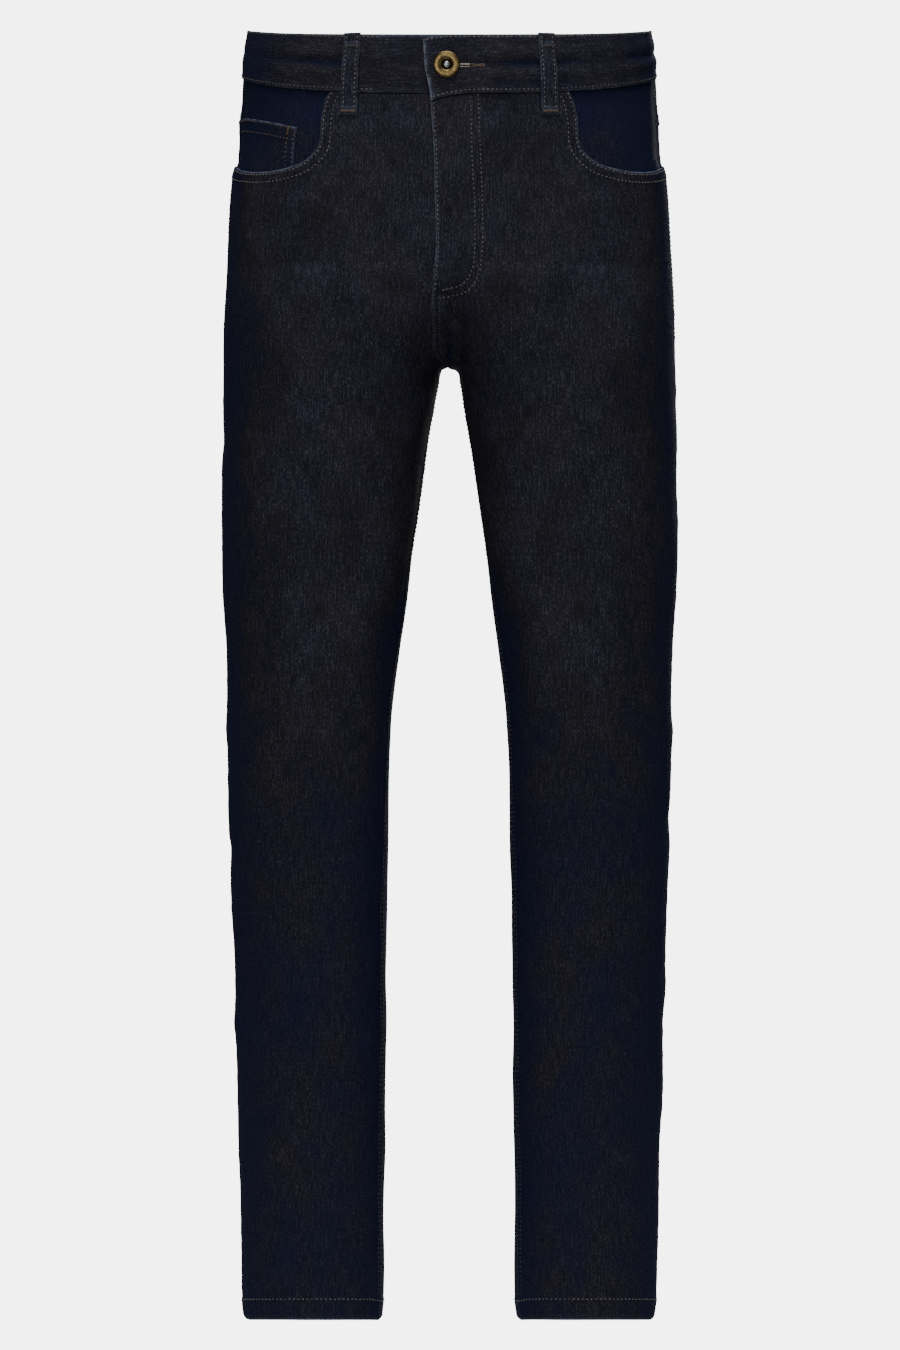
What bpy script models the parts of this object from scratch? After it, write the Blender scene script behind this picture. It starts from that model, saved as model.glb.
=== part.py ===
"""Slim fit five-pocket jeans in their worn, filled-out form, hollow, open at the waist and at both hems.

The cloth is a wall of panels cut and sewn as a maker would: two fronts, two backs, two yokes, a waistband
whose end laps over the other, belt loops, front pocket facings, a coin pocket, back pockets, a fly with its
shield and zip, and a tack button. The wearer's left is +X, the front faces -Y. Heights in the tables are
above the hems; the origin is WAIST_HEIGHT above them, in the middle of the waist opening.
"""

import math
from collections import namedtuple

import bmesh
import bpy
import numpy as np
from mathutils import Vector
from mathutils.bvhtree import BVHTree

MM = 0.001

# Driving sizes, in metres.
WAIST_HEIGHT = 1.030
CLOTH = 1.2 * MM
SEAM_GAP = 0.3 * MM
HEM_FOLD = 2.6 * MM
HEM_HEIGHT = 18.5 * MM
HEM_STEP = 0.5 * MM
BAND_OUT = 1.1 * MM
BAND_IN = 1.2 * MM
COLUMNS = 11
END_COLUMNS = 3
CUT_MARGIN = 0.02
WELD_DIGITS = 7

# The crotch: the height of the arch between the legs, its rounding, and how high the front and back rise
# curves climb before they stand upright.
CROTCH_HEIGHT = 0.7785
CROTCH_ROUNDING = 0.008
FRONT_RISE = 0.075
BACK_RISE = 0.105
INNER_SQUARENESS = 2.5

# A panel's last column but one: its share of a leg's ring, the heights between which it moves to the lap's
# edge, and the least height above the crotch at which that edge is taken.
NEAR_INSEAM = 0.93
NEAR_HEIGHTS = (0.70, CROTCH_HEIGHT)
ABOVE_CROTCH = 0.5 * MM

# The garment's outline by height: the half width out to the side seam, the front and back of the cloth, the
# side seam's place from front to back, and how square the outer quarter of the section is.
Outline = namedtuple("Outline", "height outer front back side squareness")
OUTLINES = [
    Outline(0.000, 0.1676, -0.0430, 0.0750, 0.016, 2.05),
    Outline(0.024, 0.1692, -0.0435, 0.0755, 0.016, 2.05),
    Outline(0.080, 0.1704, -0.0445, 0.0765, 0.016, 2.05),
    Outline(0.154, 0.1723, -0.0465, 0.0785, 0.016, 2.05),
    Outline(0.203, 0.1737, -0.0490, 0.0800, 0.015, 2.05),
    Outline(0.252, 0.1746, -0.0525, 0.0820, 0.014, 2.05),
    Outline(0.301, 0.1759, -0.0560, 0.0835, 0.012, 2.05),
    Outline(0.350, 0.1780, -0.0595, 0.0835, 0.010, 2.05),
    Outline(0.399, 0.1797, -0.0640, 0.0800, 0.006, 2.05),
    Outline(0.448, 0.1803, -0.0690, 0.0750, 0.002, 2.05),
    Outline(0.497, 0.1807, -0.0745, 0.0710, -0.001, 2.05),
    Outline(0.546, 0.1813, -0.0795, 0.0725, -0.002, 2.05),
    Outline(0.595, 0.1846, -0.0845, 0.0780, -0.002, 2.05),
    Outline(0.644, 0.1856, -0.0890, 0.0850, -0.001, 2.05),
    Outline(0.693, 0.1851, -0.0940, 0.0925, 0.001, 2.08),
    Outline(0.742, 0.1851, -0.0985, 0.1010, 0.004, 2.12),
    Outline(0.777, 0.1841, -0.1025, 0.1130, 0.006, 2.22),
    Outline(0.819, 0.1831, -0.1070, 0.1280, 0.008, 2.48),
    Outline(0.868, 0.1809, -0.1100, 0.1370, 0.008, 2.66),
    Outline(0.913, 0.1782, -0.1100, 0.1355, 0.006, 2.66),
    Outline(0.942, 0.1757, -0.1090, 0.1305, 0.004, 2.58),
    Outline(0.970, 0.1730, -0.1065, 0.1235, 0.002, 2.48),
    Outline(1.004, 0.1682, -0.1025, 0.1140, 0.000, 2.36),
    Outline(1.024, 0.1672, -0.1005, 0.1090, 0.000, 2.30),
    Outline(1.050, 0.1634, -0.0985, 0.1055, 0.000, 2.25),
    Outline(1.080, 0.1600, -0.0970, 0.1030, 0.000, 2.25),
]

# Half the gap between the legs, by height.
Gap = namedtuple("Gap", "height inner")
LEG_GAPS = [
    Gap(0.000, 0.0555),
    Gap(0.024, 0.0539),
    Gap(0.154, 0.0526),
    Gap(0.301, 0.0512),
    Gap(0.399, 0.0497),
    Gap(0.448, 0.0485),
    Gap(0.497, 0.0459),
    Gap(0.546, 0.0403),
    Gap(0.595, 0.0335),
    Gap(0.644, 0.0272),
    Gap(0.693, 0.0203),
    Gap(0.742, 0.0130),
    Gap(0.7672, 0.0093),
    Gap(0.7771, 0.0068),
    Gap(CROTCH_HEIGHT, 0.0),
]

# How far the side seam is drawn in above the pocket mouths.
Dent = namedtuple("Dent", "height depth")
SIDE_DENTS = [
    Dent(0.9320, 0.0),
    Dent(0.9374, 0.0012),
    Dent(0.9415, 0.0029),
    Dent(0.9456, 0.0034),
    Dent(0.9537, 0.0034),
    Dent(0.9700, 0.0025),
    Dent(0.9850, 0.0013),
    Dent(1.0040, 0.0),
]
DENT_REACH = 0.35

# How far the inseam lies in front of the leg's inmost line, as a share of the front ring.
Seam = namedtuple("Seam", "height forward")
INSEAM = [Seam(0.0, 0.105), Seam(0.30, 0.090), Seam(0.55, 0.055), Seam(0.72, 0.020), Seam(0.765, 0.0)]

# Rings of the cloth. Below the crotch each has its height at the side seam and at the inseam, above it at the
# side seam, the centre front and the centre back. The last ring is the waist seam.
LegRing = namedtuple("LegRing", "side inseam")
LEG_RINGS = [
    LegRing(0.0, 0.0),
    LegRing(HEM_HEIGHT, HEM_HEIGHT),
    LegRing(HEM_HEIGHT + HEM_STEP, HEM_HEIGHT + HEM_STEP),
    LegRing(0.080, 0.080),
    LegRing(0.160, 0.160),
    LegRing(0.240, 0.240),
    LegRing(0.310, 0.310),
    LegRing(0.380, 0.380),
    LegRing(0.450, 0.450),
    LegRing(0.520, 0.520),
    LegRing(0.580, 0.580),
    LegRing(0.640, 0.641),
    LegRing(0.690, 0.693),
    LegRing(0.725, 0.733),
    LegRing(0.747, 0.760),
    LegRing(0.760, 0.7757),
]
BodyRing = namedtuple("BodyRing", "side front back")
BODY_RINGS = [
    BodyRing(0.7680, CROTCH_HEIGHT, CROTCH_HEIGHT),
    BodyRing(0.7800, 0.7810, 0.7820),
    BodyRing(0.7930, 0.7885, 0.7925),
    BodyRing(0.8080, 0.8020, 0.8105),
    BodyRing(0.8260, 0.8195, 0.8340),
    BodyRing(0.8480, 0.8390, 0.8600),
    BodyRing(0.8740, 0.8620, 0.8870),
    BodyRing(0.9000, 0.8850, 0.9120),
    BodyRing(0.9220, 0.9050, 0.9320),
    BodyRing(0.9380, 0.9200, 0.9450),
    BodyRing(0.9480, 0.9300, 0.9520),
    BodyRing(0.9600, 0.9415, 0.9600),
    BodyRing(0.9740, 0.9550, 0.9700),
    BodyRing(0.9920, 0.9725, 0.9955),
    BodyRing(1.0109, 0.9905, 1.0208),
]
CROTCH_RING = len(LEG_RINGS)
YOKE_RING = CROTCH_RING + 12
POCKET_RING = CROTCH_RING + 6

# Heights of the waistband's top edge at the side, centre front and centre back.
BAND_TOP = BodyRing(1.0496, 1.0358, 1.0604)

# How far the left front laps over the right one at the centre, by height.
Lap = namedtuple("Lap", "height width")
LAPS = [
    Lap(CROTCH_HEIGHT, 0.0070),
    Lap(0.790, 0.0108),
    Lap(0.815, 0.0122),
    Lap(0.834, 0.0132),
    Lap(0.870, 0.0106),
    Lap(0.913, 0.0110),
    Lap(0.937, 0.0122),
    Lap(0.962, 0.0134),
    Lap(0.983, 0.0146),
    Lap(0.992, 0.0150),
    Lap(1.003, 0.0168),
    Lap(1.014, 0.0194),
    Lap(1.036, 0.0210),
]
FLY_FOOT = 0.758
LAP_RAISE = 1.6 * MM
LAP_FADE = (0.005, 0.035)
LAP_DROOP = 6.8 * MM
DROOP_HEIGHTS = (0.93, 0.99)
DROOP_EASE = 1.8 * MM
EASE_HEIGHTS = (0.995, 1.030)

# The waistband's over end stands out over its under end, which reaches UNDER_END past the centre.
OVER_RAISE = 2.4 * MM
OVER_FADE = (0.034, 0.068)
UNDER_SINK = 0.4 * MM
UNDER_FADE = (-0.045, -0.022)
UNDER_END = 0.020
BAND_STEPS = (0.0, 0.22, 0.5, 0.78, 1.0)

# The hems lie on a plane that is higher in front: its slope, and how high up the leg it dies away. Their
# corners at the side and at the inseam are rounded off.
HEM_TILT = 0.117
TILT_REACH = 0.30
SIDE_CORNER = 6 * MM
INSEAM_CORNER = 4 * MM

# The mouth of a front pocket, from the waist seam to the side seam.
Spot = namedtuple("Spot", "across height")
MOUTH = [
    Spot(0.0940, 1.010),
    Spot(0.0955, 0.9925),
    Spot(0.0985, 0.9865),
    Spot(0.1013, 0.9755),
    Spot(0.1027, 0.9655),
    Spot(0.1031, 0.9545),
    Spot(0.1048, 0.9475),
    Spot(0.1088, 0.9420),
    Spot(0.1144, 0.9372),
    Spot(0.1195, 0.9344),
    Spot(0.1255, 0.9325),
    Spot(0.1378, 0.9300),
    Spot(0.1485, 0.9294),
    Spot(0.1577, 0.9302),
    Spot(0.1667, 0.9326),
    Spot(0.1718, 0.9368),
    Spot(0.2000, 0.9376),
]
MOUTH_TOP = 1.060
MOUTH_DEPTHS = (-0.2, 0.05)
FAR_ACROSS = 0.2100
FACING_EDGE = [
    Spot(0.0830, 1.030),
    Spot(0.0845, 0.955),
    Spot(0.0930, 0.928),
    Spot(0.1120, 0.912),
    Spot(0.1450, 0.905),
    Spot(0.2100, 0.905),
]
COIN_EDGE = [
    Spot(0.2000, 0.9815),
    Spot(0.1700, 0.9772),
    Spot(0.1500, 0.9716),
    Spot(0.1316, 0.9665),
    Spot(0.1224, 0.9640),
    Spot(0.1236, 0.9560),
    Spot(0.1250, 0.9464),
    Spot(0.1252, 0.9340),
    Spot(0.1258, 0.9150),
    Spot(0.2000, 0.9150),
]
BACK_POCKET_EDGE = [
    Spot(0.0340, 0.9490),
    Spot(0.1460, 0.9410),
    Spot(0.1400, 0.8280),
    Spot(0.0900, 0.7990),
    Spot(0.0430, 0.8330),
]
FACING_DEPTH = 1.5 * MM
FACING_SINK = 1.3 * MM
SINK_HEIGHTS = (0.984, 1.000)
FACING_CLOTH = 1.0 * MM
POCKET_LIFT = 0.3 * MM

# The fly: the shield behind it, and the zip between the two fronts.
SHIELD_EDGE = [
    Spot(-0.0240, 1.0300),
    Spot(0.0290, 1.0300),
    Spot(0.0290, 0.8620),
    Spot(0.0220, 0.8440),
    Spot(0.0040, 0.8360),
    Spot(-0.0240, 0.8360),
]
ZIP_EDGE = [Spot(0.0020, 0.9780), Spot(0.0150, 0.9780), Spot(0.0150, 0.8460), Spot(0.0020, 0.8460)]
SHIELD_LAYER = (-1.7 * MM, -2.9 * MM)
ZIP_LAYER = (-0.4 * MM, -1.4 * MM)

# Belt loops: each one's place across the front or back, and the steps up a loop. A step's height is from the
# waist seam if it is negative, and otherwise a share of the waistband; lift is the gap below the strip.
Loop = namedtuple("Loop", "name across back")
LOOPS = [
    Loop("belt_loop_front_left", 0.0780, False),
    Loop("belt_loop_front_right", -0.0780, False),
    Loop("belt_loop_back_left", 0.1010, True),
    Loop("belt_loop_back_right", -0.1010, True),
    Loop("belt_loop_centre_back", 0.0, True),
]
LOOP_WIDTH = 12.3 * MM
LOOP_SLANT = 1.4 * MM
Step = namedtuple("Step", "height lift cloth")
LOOP_STEPS = [
    Step(-0.0205, 0.3 * MM, 2.2 * MM),
    Step(-0.0165, 0.3 * MM, 2.2 * MM),
    Step(-0.0120, 1.0 * MM, 1.6 * MM),
    Step(-0.0040, 2.4 * MM, 1.6 * MM),
    Step(0.15, 2.2 * MM, 1.6 * MM),
    Step(0.45, 2.7 * MM, 1.6 * MM),
    Step(0.68, 1.8 * MM, 1.6 * MM),
    Step(0.78, 0.4 * MM, 1.9 * MM),
    Step(1.05, 0.4 * MM, 1.9 * MM),
]

# A loop leans by LOOP_SLANT over this height. Its steps above BAND_REACH stand on the waistband. Its places
# are found along rays from in front or behind, on the band no higher than BAND_SAFE. A back loop ends below
# the waistband's top edge.
LOOP_LEAN_HEIGHT = 0.04
BAND_REACH = -0.010
RAY_START = 0.4
BAND_SAFE = 0.97
BACK_LOOP_TOP = 0.98

# The tack button: its cap's profile is in shares of its radius, and its rivet's in metres.
BUTTON_ACROSS = -2.2 * MM
BUTTON_HEIGHT = 1.0119
BUTTON_RADIUS = 10.6 * MM
BUTTON_STAND = 5.6 * MM
POST_RADIUS = 2.1 * MM
EYE_MARGIN = 1.0 * MM
HOLE_END = 0.0285
HOLE_HALF_HEIGHT = 0.7 * MM
RIVET_PROFILE = [(0, -1.2 * MM), (4.0 * MM, -1.2 * MM), (4.6 * MM, -0.6 * MM), (4.4 * MM, 0.0)]
CAP_PROFILE = [
    (0.00, 0.00 * MM),
    (0.86, 0.00 * MM),
    (0.97, 0.30 * MM),
    (1.00, 0.90 * MM),
    (0.97, 1.60 * MM),
    (0.86, 2.10 * MM),
    (0.70, 2.25 * MM),
    (0.52, 1.90 * MM),
    (0.40, 1.20 * MM),
    (0.32, 1.15 * MM),
    (0.26, 1.60 * MM),
    (0.14, 2.00 * MM),
    (0.00, 2.10 * MM),
]


def smooth_curve(table, column, heights):
    """The column of a table at the heights, on a monotone cubic through its rows."""
    x = np.array([row[0] for row in table])
    y = np.array([getattr(row, column) for row in table])
    slope = np.diff(y) / np.diff(x)
    same = slope[1:] * slope[:-1] > 0
    mean = 2 * slope[1:] * slope[:-1] / np.where(same, slope[1:] + slope[:-1], 1)
    tangent = np.concatenate([[slope[0]], np.where(same, mean, 0), [slope[-1]]])
    at = np.clip(heights, x[0], x[-1])
    i = np.clip(np.searchsorted(x, at, side="right") - 1, 0, len(x) - 2)
    step = x[i + 1] - x[i]
    t = (at - x[i]) / step
    start = (1 + 2 * t) * (1 - t) ** 2 * y[i] + t * (1 - t) ** 2 * step * tangent[i]
    end = t * t * (3 - 2 * t) * y[i + 1] + t * t * (t - 1) * step * tangent[i + 1]
    return start + end


def fade(low, high, value):
    """From 0 at low to 1 at high, smoothly."""
    t = np.clip((value - low) / (high - low), 0, 1)
    return t * t * (3 - 2 * t)


def half_section(heights, back):
    """What the left half's section is made of at each height: its middle, half width and last turn."""
    outer = np.hypot(smooth_curve(OUTLINES, "outer", heights), CROTCH_ROUNDING)
    inner = np.hypot(smooth_curve(LEG_GAPS, "inner", heights), CROTCH_ROUNDING)
    rise = BACK_RISE if back else FRONT_RISE
    climb = np.clip((heights - CROTCH_HEIGHT) / rise, 0, 1)
    depth_share = np.sqrt(1 - (1 - climb) ** 2)
    cleft = (1 - depth_share**INNER_SQUARENESS) ** (1 / INNER_SQUARENESS)
    leg = heights <= CROTCH_HEIGHT
    half = np.where(leg, (outer - inner) / 2, (outer - CROTCH_ROUNDING) / (1 + cleft))
    last = np.where(leg, math.pi, math.pi - np.arccos(np.clip(cleft ** (INNER_SQUARENESS / 2), 0, 1)))
    return outer - half, half, last


def cloth_points(heights, shares, back):
    """Points of the left half's outer surface. Share 0 is the side seam and 1 the centre or the inseam."""
    middle, half, last = half_section(heights, back)
    turn = shares * last
    outer_part = turn < math.pi / 2
    squareness = np.where(outer_part, smooth_curve(OUTLINES, "squareness", heights), INNER_SQUARENESS)
    across = np.sign(np.cos(turn)) * np.abs(np.cos(turn)) ** (2 / squareness)
    deep = np.abs(np.sin(turn)) ** (2 / squareness)
    stretched = middle + half * across
    x = np.sqrt(np.maximum(stretched**2 - CROTCH_ROUNDING**2, 0))
    x = x - smooth_curve(SIDE_DENTS, "depth", heights) * np.exp(-((turn / DENT_REACH) ** 2))
    side = smooth_curve(OUTLINES, "side", heights)
    face = smooth_curve(OUTLINES, "back" if back else "front", heights)
    y = side + (face - side) * deep
    return np.stack([x, y, heights - WAIST_HEIGHT], axis=-1)


def ring_points(side, centre, shares, back):
    """Points along one ring, from the side seam on. Shares over 1 go on past the leg's inmost line."""
    within = np.where(shares > 1, 2 - shares, shares)
    heights = side + (centre - side) * np.sin(math.pi / 2 * within)
    own, other = cloth_points(heights, within, back), cloth_points(heights, within, not back)
    return np.where((shares > 1)[..., None], other, own)


def share_at(centre, width, back=False):
    """The share of a ring at which this width is left to the centre."""
    middle, half, last = half_section(np.array(centre), back)
    across = (np.hypot(width, CROTCH_ROUNDING) - middle) / half
    squareness = INNER_SQUARENESS
    if across > 0:
        squareness = smooth_curve(OUTLINES, "squareness", centre)
    cosine = np.sign(across) * min(abs(across), 1) ** (squareness / 2)
    return float(math.acos(cosine) / last)


def ring_heights(back):
    """(side height, far height) of every ring of a panel."""
    legs = [(ring.side, ring.inseam) for ring in LEG_RINGS]
    return legs + [(ring.side, ring.back if back else ring.front) for ring in BODY_RINGS]


def panel_grid(back):
    """The left panel's points, ring by ring, COLUMNS + 1 along each."""
    rows = []
    for index, (side, far) in enumerate(ring_heights(back)):
        level = max(far, CROTCH_HEIGHT + ABOVE_CROTCH)
        near_end = share_at(level, float(smooth_curve(LAPS, "width", level)), back)
        end = 1.0
        if index < CROTCH_RING:
            near_end = NEAR_INSEAM + (near_end - NEAR_INSEAM) * fade(*NEAR_HEIGHTS, far)
            end += float(smooth_curve(INSEAM, "forward", far)) * (1 if back else -1)
        shares = np.append(np.linspace(0, near_end * end, COLUMNS), end)
        rows.append(ring_points(side, far, shares, back))
    return np.array(rows)


def mirrored(points):
    """The same points or directions on the wearer's right."""
    return points * np.array([-1, 1, 1])


def grid_normals(own, other):
    """Outward directions of a panel's grid, smooth across the seams to its neighbours."""
    beyond = np.concatenate([other[:CROTCH_RING, -2], mirrored(own[CROTCH_RING:, -2])])
    wide = np.concatenate([other[:, 1:2], own, beyond[:, None]], axis=1)
    out = np.cross(np.gradient(own, axis=0), wide[:, 2:] - wide[:, :-2])
    middle = (len(LEG_RINGS) // 2, COLUMNS // 3, 1)
    out *= np.sign(out[middle] * own[middle])
    out[CROTCH_RING, -1] = (0, 0, -1)
    return out / np.linalg.norm(out, axis=-1, keepdims=True)


def drawn_in(grid, *edges):
    """The grid with half a seam gap left at the named edges, which meet another piece."""
    points = grid.copy()
    everything = slice(None)
    places = {
        "side": ((everything, 0), (everything, 1)),
        "inseam": ((slice(0, CROTCH_RING + 1), -1), (slice(0, CROTCH_RING + 1), -2)),
        "centre": ((everything, -1), (everything, -2)),
        "bottom": ((0, everything), (1, everything)),
        "top": ((-1, everything), (-2, everything)),
    }
    for name in edges:
        edge, inside = places[name]
        direction = grid[inside] - grid[edge]
        length = np.linalg.norm(direction, axis=-1, keepdims=True)
        points[edge] += direction / length * SEAM_GAP / 2
    return points


Patch = namedtuple("Patch", "points normals outer inner triangles")


def grid_patch(points, normals, outer, inner):
    """A grid as a triangulated patch, with how far out its outer and inner faces lie."""
    rows, columns = points.shape[:2]
    index = np.arange(rows * columns).reshape(rows, columns)
    a, b = index[:-1, :-1].ravel(), index[:-1, 1:].ravel()
    c, d = index[1:, 1:].ravel(), index[1:, :-1].ravel()
    triangles = np.concatenate([np.stack([a, b, c], 1), np.stack([a, c, d], 1)])
    outer = np.broadcast_to(outer, (rows, columns)).ravel()
    inner = np.broadcast_to(inner, (rows, columns)).ravel()
    return Patch(points.reshape(-1, 3), normals.reshape(-1, 3), outer, inner, triangles)


def joined(first, second):
    """Two patches as one, with the points that they share made one."""
    fields = [np.concatenate([first[i], second[i]]) for i in range(4)]
    triangles = np.concatenate([first.triangles, second.triangles + len(first.points)])
    rounded = np.round(fields[0], WELD_DIGITS) + 0.0
    keep, index = np.unique(rounded, axis=0, return_index=True, return_inverse=True)[1:]
    triangles = index.reshape(-1)[triangles]
    a, b, c = triangles.T
    whole = (a != b) & (b != c) & (a != c)
    return Patch(*(field[keep] for field in fields), triangles[whole])


def mirrored_patch(patch):
    """The same patch on the wearer's right."""
    triangles = patch.triangles[:, ::-1]
    return patch._replace(points=mirrored(patch.points), normals=mirrored(patch.normals), triangles=triangles)


def linked_object(name, shape, surface):
    """An object from a bmesh, with its faces pointing out."""
    mesh = bpy.data.meshes.new(name)
    bmesh.ops.recalc_face_normals(shape, faces=shape.faces[:])
    shape.to_mesh(mesh)
    shape.free()
    obj = bpy.data.objects.new(name, mesh)
    bpy.context.scene.collection.objects.link(obj)
    obj.data.materials.append(surface)
    return obj


def mesh_object(name, vertices, faces, surface):
    """An object from vertices and faces."""
    shape = bmesh.new()
    made = [shape.verts.new(v) for v in vertices]
    for face in faces:
        shape.faces.new([made[i] for i in face])
    return linked_object(name, shape, surface)


def wall(name, patch, surface):
    """A closed wall of cloth between a patch's outer and inner faces."""
    size = len(patch.points)
    outer = patch.points + patch.normals * patch.outer[:, None]
    inner = patch.points + patch.normals * patch.inner[:, None]
    faces = [tuple(face) for face in patch.triangles]
    faces += [(c + size, b + size, a + size) for a, b, c in patch.triangles]
    edges = {edge for a, b, c in patch.triangles for edge in ((a, b), (b, c), (c, a))}
    for start, end in sorted(edges):
        if (end, start) not in edges:
            faces.append((start, start + size, end + size))
            faces.append((start, end + size, end))
    return mesh_object(name, np.concatenate([outer, inner]), faces, surface)


def prism(name, outline, near, far):
    """A cutter with an outline of (across, height) points, from depth near to far along Y."""
    count = len(outline)
    vertices = [(x, y, h - WAIST_HEIGHT) for y in (near, far) for x, h in outline]
    faces = [tuple(range(count)), tuple(reversed(range(count, 2 * count)))]
    faces += [(i, (i + 1) % count, (i + 1) % count + count, i + count) for i in range(count)]
    cutter = mesh_object(name, vertices, faces, None)
    cutter.hide_render = True
    cutter.display_type = "WIRE"
    return cutter


def cut(obj, cutter, operation="DIFFERENCE"):
    """A Boolean of obj with a cutter."""
    boolean = obj.modifiers.new(cutter.name, "BOOLEAN")
    boolean.operation = operation
    boolean.solver = "EXACT"
    boolean.object = cutter


def disc_outline(across, height, radius, steps=20):
    """A round outline for a prism."""
    turns = [math.tau * i / steps for i in range(steps)]
    return [(across + radius * math.cos(t), height + radius * math.sin(t)) for t in turns]


def mirrored_outline(outline):
    """An outline as it lies on the wearer's right."""
    return [(-x, h) for x, h in outline]


def plate(name, outline, patch, outer, inner, surface):
    """The piece of a patch's wall that lies inside an outline, as seen from the front."""
    size = len(patch.points)
    layer = patch._replace(outer=np.broadcast_to(outer, size), inner=np.broadcast_to(inner, size))
    depths = patch.points[:, 1]
    cutter = prism(name + "_edge", outline, depths.min() - CUT_MARGIN, depths.max() + CUT_MARGIN)
    cut(wall(name, layer, surface), cutter, "INTERSECT")


def turned(name, profile, surface, place, steps=32):
    """A solid turned from (radius, out) points about the front-to-back axis through a place."""
    shape = bmesh.new()
    rings = []
    for radius, out in profile:
        turns = [math.tau * i / steps for i in range(1 if radius == 0 else steps)]
        rings.append([shape.verts.new((radius * math.cos(t), -out, radius * math.sin(t))) for t in turns])
    for low, high in zip(rings, rings[1:]):
        for i in range(steps):
            near = [low[i % len(low)], low[(i + 1) % len(low)]]
            far = [high[(i + 1) % len(high)], high[i % len(high)]]
            face = list(dict.fromkeys(near + far))
            if len(face) > 2:
                shape.faces.new(face)
    linked_object(name, shape, surface).location = place


def corner_rise(points, heights):
    """How far the hem's rounded corners at the side and at the inseam lift its edge: soon gone in front."""
    outer, inner = smooth_curve(OUTLINES, "outer", heights), smooth_curve(LEG_GAPS, "inner", heights)
    side, back = smooth_curve(OUTLINES, "side", heights), smooth_curve(OUTLINES, "back", heights)
    behind = (points[..., 1] - side) / (back - side)
    rise = np.zeros(heights.shape)
    for distance, radius in ((outer - points[..., 0], SIDE_CORNER), (points[..., 0] - inner, INSEAM_CORNER)):
        near = 1 - np.clip(distance / radius, 0, 1)
        own_half = distance < (outer - inner) / 2
        share = np.where(behind > 0, (1 - fade(0, 1, behind)) * own_half, 1 - np.sqrt(1 - near**2))
        rise += radius * share
    return rise * (1 - fade(0, HEM_HEIGHT, heights))


def hemmed(grid):
    """The grid with its hem on the tilted plane, its corners rounded off."""
    heights = grid[..., 2] + WAIST_HEIGHT
    lean = HEM_TILT * (smooth_curve(OUTLINES, "side", heights) - grid[..., 1])
    points = grid.copy()
    points[..., 2] += lean * (1 - fade(0, TILT_REACH, heights)) + corner_rise(grid, heights)
    return points


def drooped(strip):
    """A strip beyond the centre front, hanging lower towards its edge and the waist."""
    points = strip.copy()
    heights = points[..., 2] + WAIST_HEIGHT
    share = np.clip(-points[..., 0] / smooth_curve(LAPS, "width", heights), 0, 1)
    droop = LAP_DROOP * fade(*DROOP_HEIGHTS, heights) - DROOP_EASE * fade(*EASE_HEIGHTS, heights)
    lower = heights - droop * share
    points[..., 2] = lower - WAIST_HEIGHT
    points[..., 1] += smooth_curve(OUTLINES, "front", lower) - smooth_curve(OUTLINES, "front", heights)
    return points


def fly_raise(points):
    """How far out the left front stands by the centre."""
    heights = points[..., 2] + WAIST_HEIGHT
    legs = fade(FLY_FOOT, CROTCH_HEIGHT, heights)
    return LAP_RAISE * (1 - fade(*LAP_FADE, points[..., 0])) * np.where(points[..., 0] < 0, 1, legs)


def waist_line(back, ends):
    """The across and height of points along the waist seam or the waistband's top."""
    line = ring_points(ends.side, ends.back if back else ends.front, np.linspace(0, 1, 60), back)
    line = line[np.argsort(line[:, 0])]
    return line[:, 0], line[:, 2] + WAIST_HEIGHT


def tree(patch):
    """A patch's faces, to find points on them."""
    points = [Vector(point) for point in patch.points]
    return BVHTree.FromPolygons(points, [tuple(face) for face in patch.triangles.tolist()])


# The pieces of the garment. Each function takes the left half's grids and outward directions.

Half = namedtuple("Half", "grid out")


def front_patch(front):
    """The left half of the front, as it meets its neighbours."""
    inner = np.full(front.grid.shape[:2], -CLOTH)
    inner[:2] = -HEM_FOLD
    return grid_patch(drawn_in(front.grid, "side", "inseam", "top"), front.out, 0.0, inner)


def lapping_patch(front):
    """The left front: its own half, raised by the fly, and the flap that goes on to the fly's edge."""
    under = front_patch(front)
    lift = fly_raise(under.points)
    own = under._replace(outer=lift, inner=under.inner + lift)
    beyond = slice(CROTCH_RING, None)
    strip = drawn_in(mirrored(drooped(mirrored(front.grid[beyond, -2:]))), "top")
    strip[:, -1] = under.points.reshape(front.grid.shape)[beyond, -1]
    flap = grid_patch(strip, front.out[beyond, -2:], LAP_RAISE, LAP_RAISE - CLOTH)
    return joined(own, mirrored_patch(flap))


def make_fronts(front, denim):
    """The two fronts with their pocket mouths cut out. The right one runs to the centre, under the left."""
    mouth = [*MOUTH, Spot(FAR_ACROSS, MOUTH_TOP), Spot(MOUTH[0].across, MOUTH_TOP)]
    left = wall("front_left", lapping_patch(front), denim)
    right = wall("front_right", mirrored_patch(front_patch(front)), denim)
    cut(left, prism("front_left_mouth", mouth, *MOUTH_DEPTHS))
    cut(right, prism("front_right_mouth", mirrored_outline(mouth), *MOUTH_DEPTHS))


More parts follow.
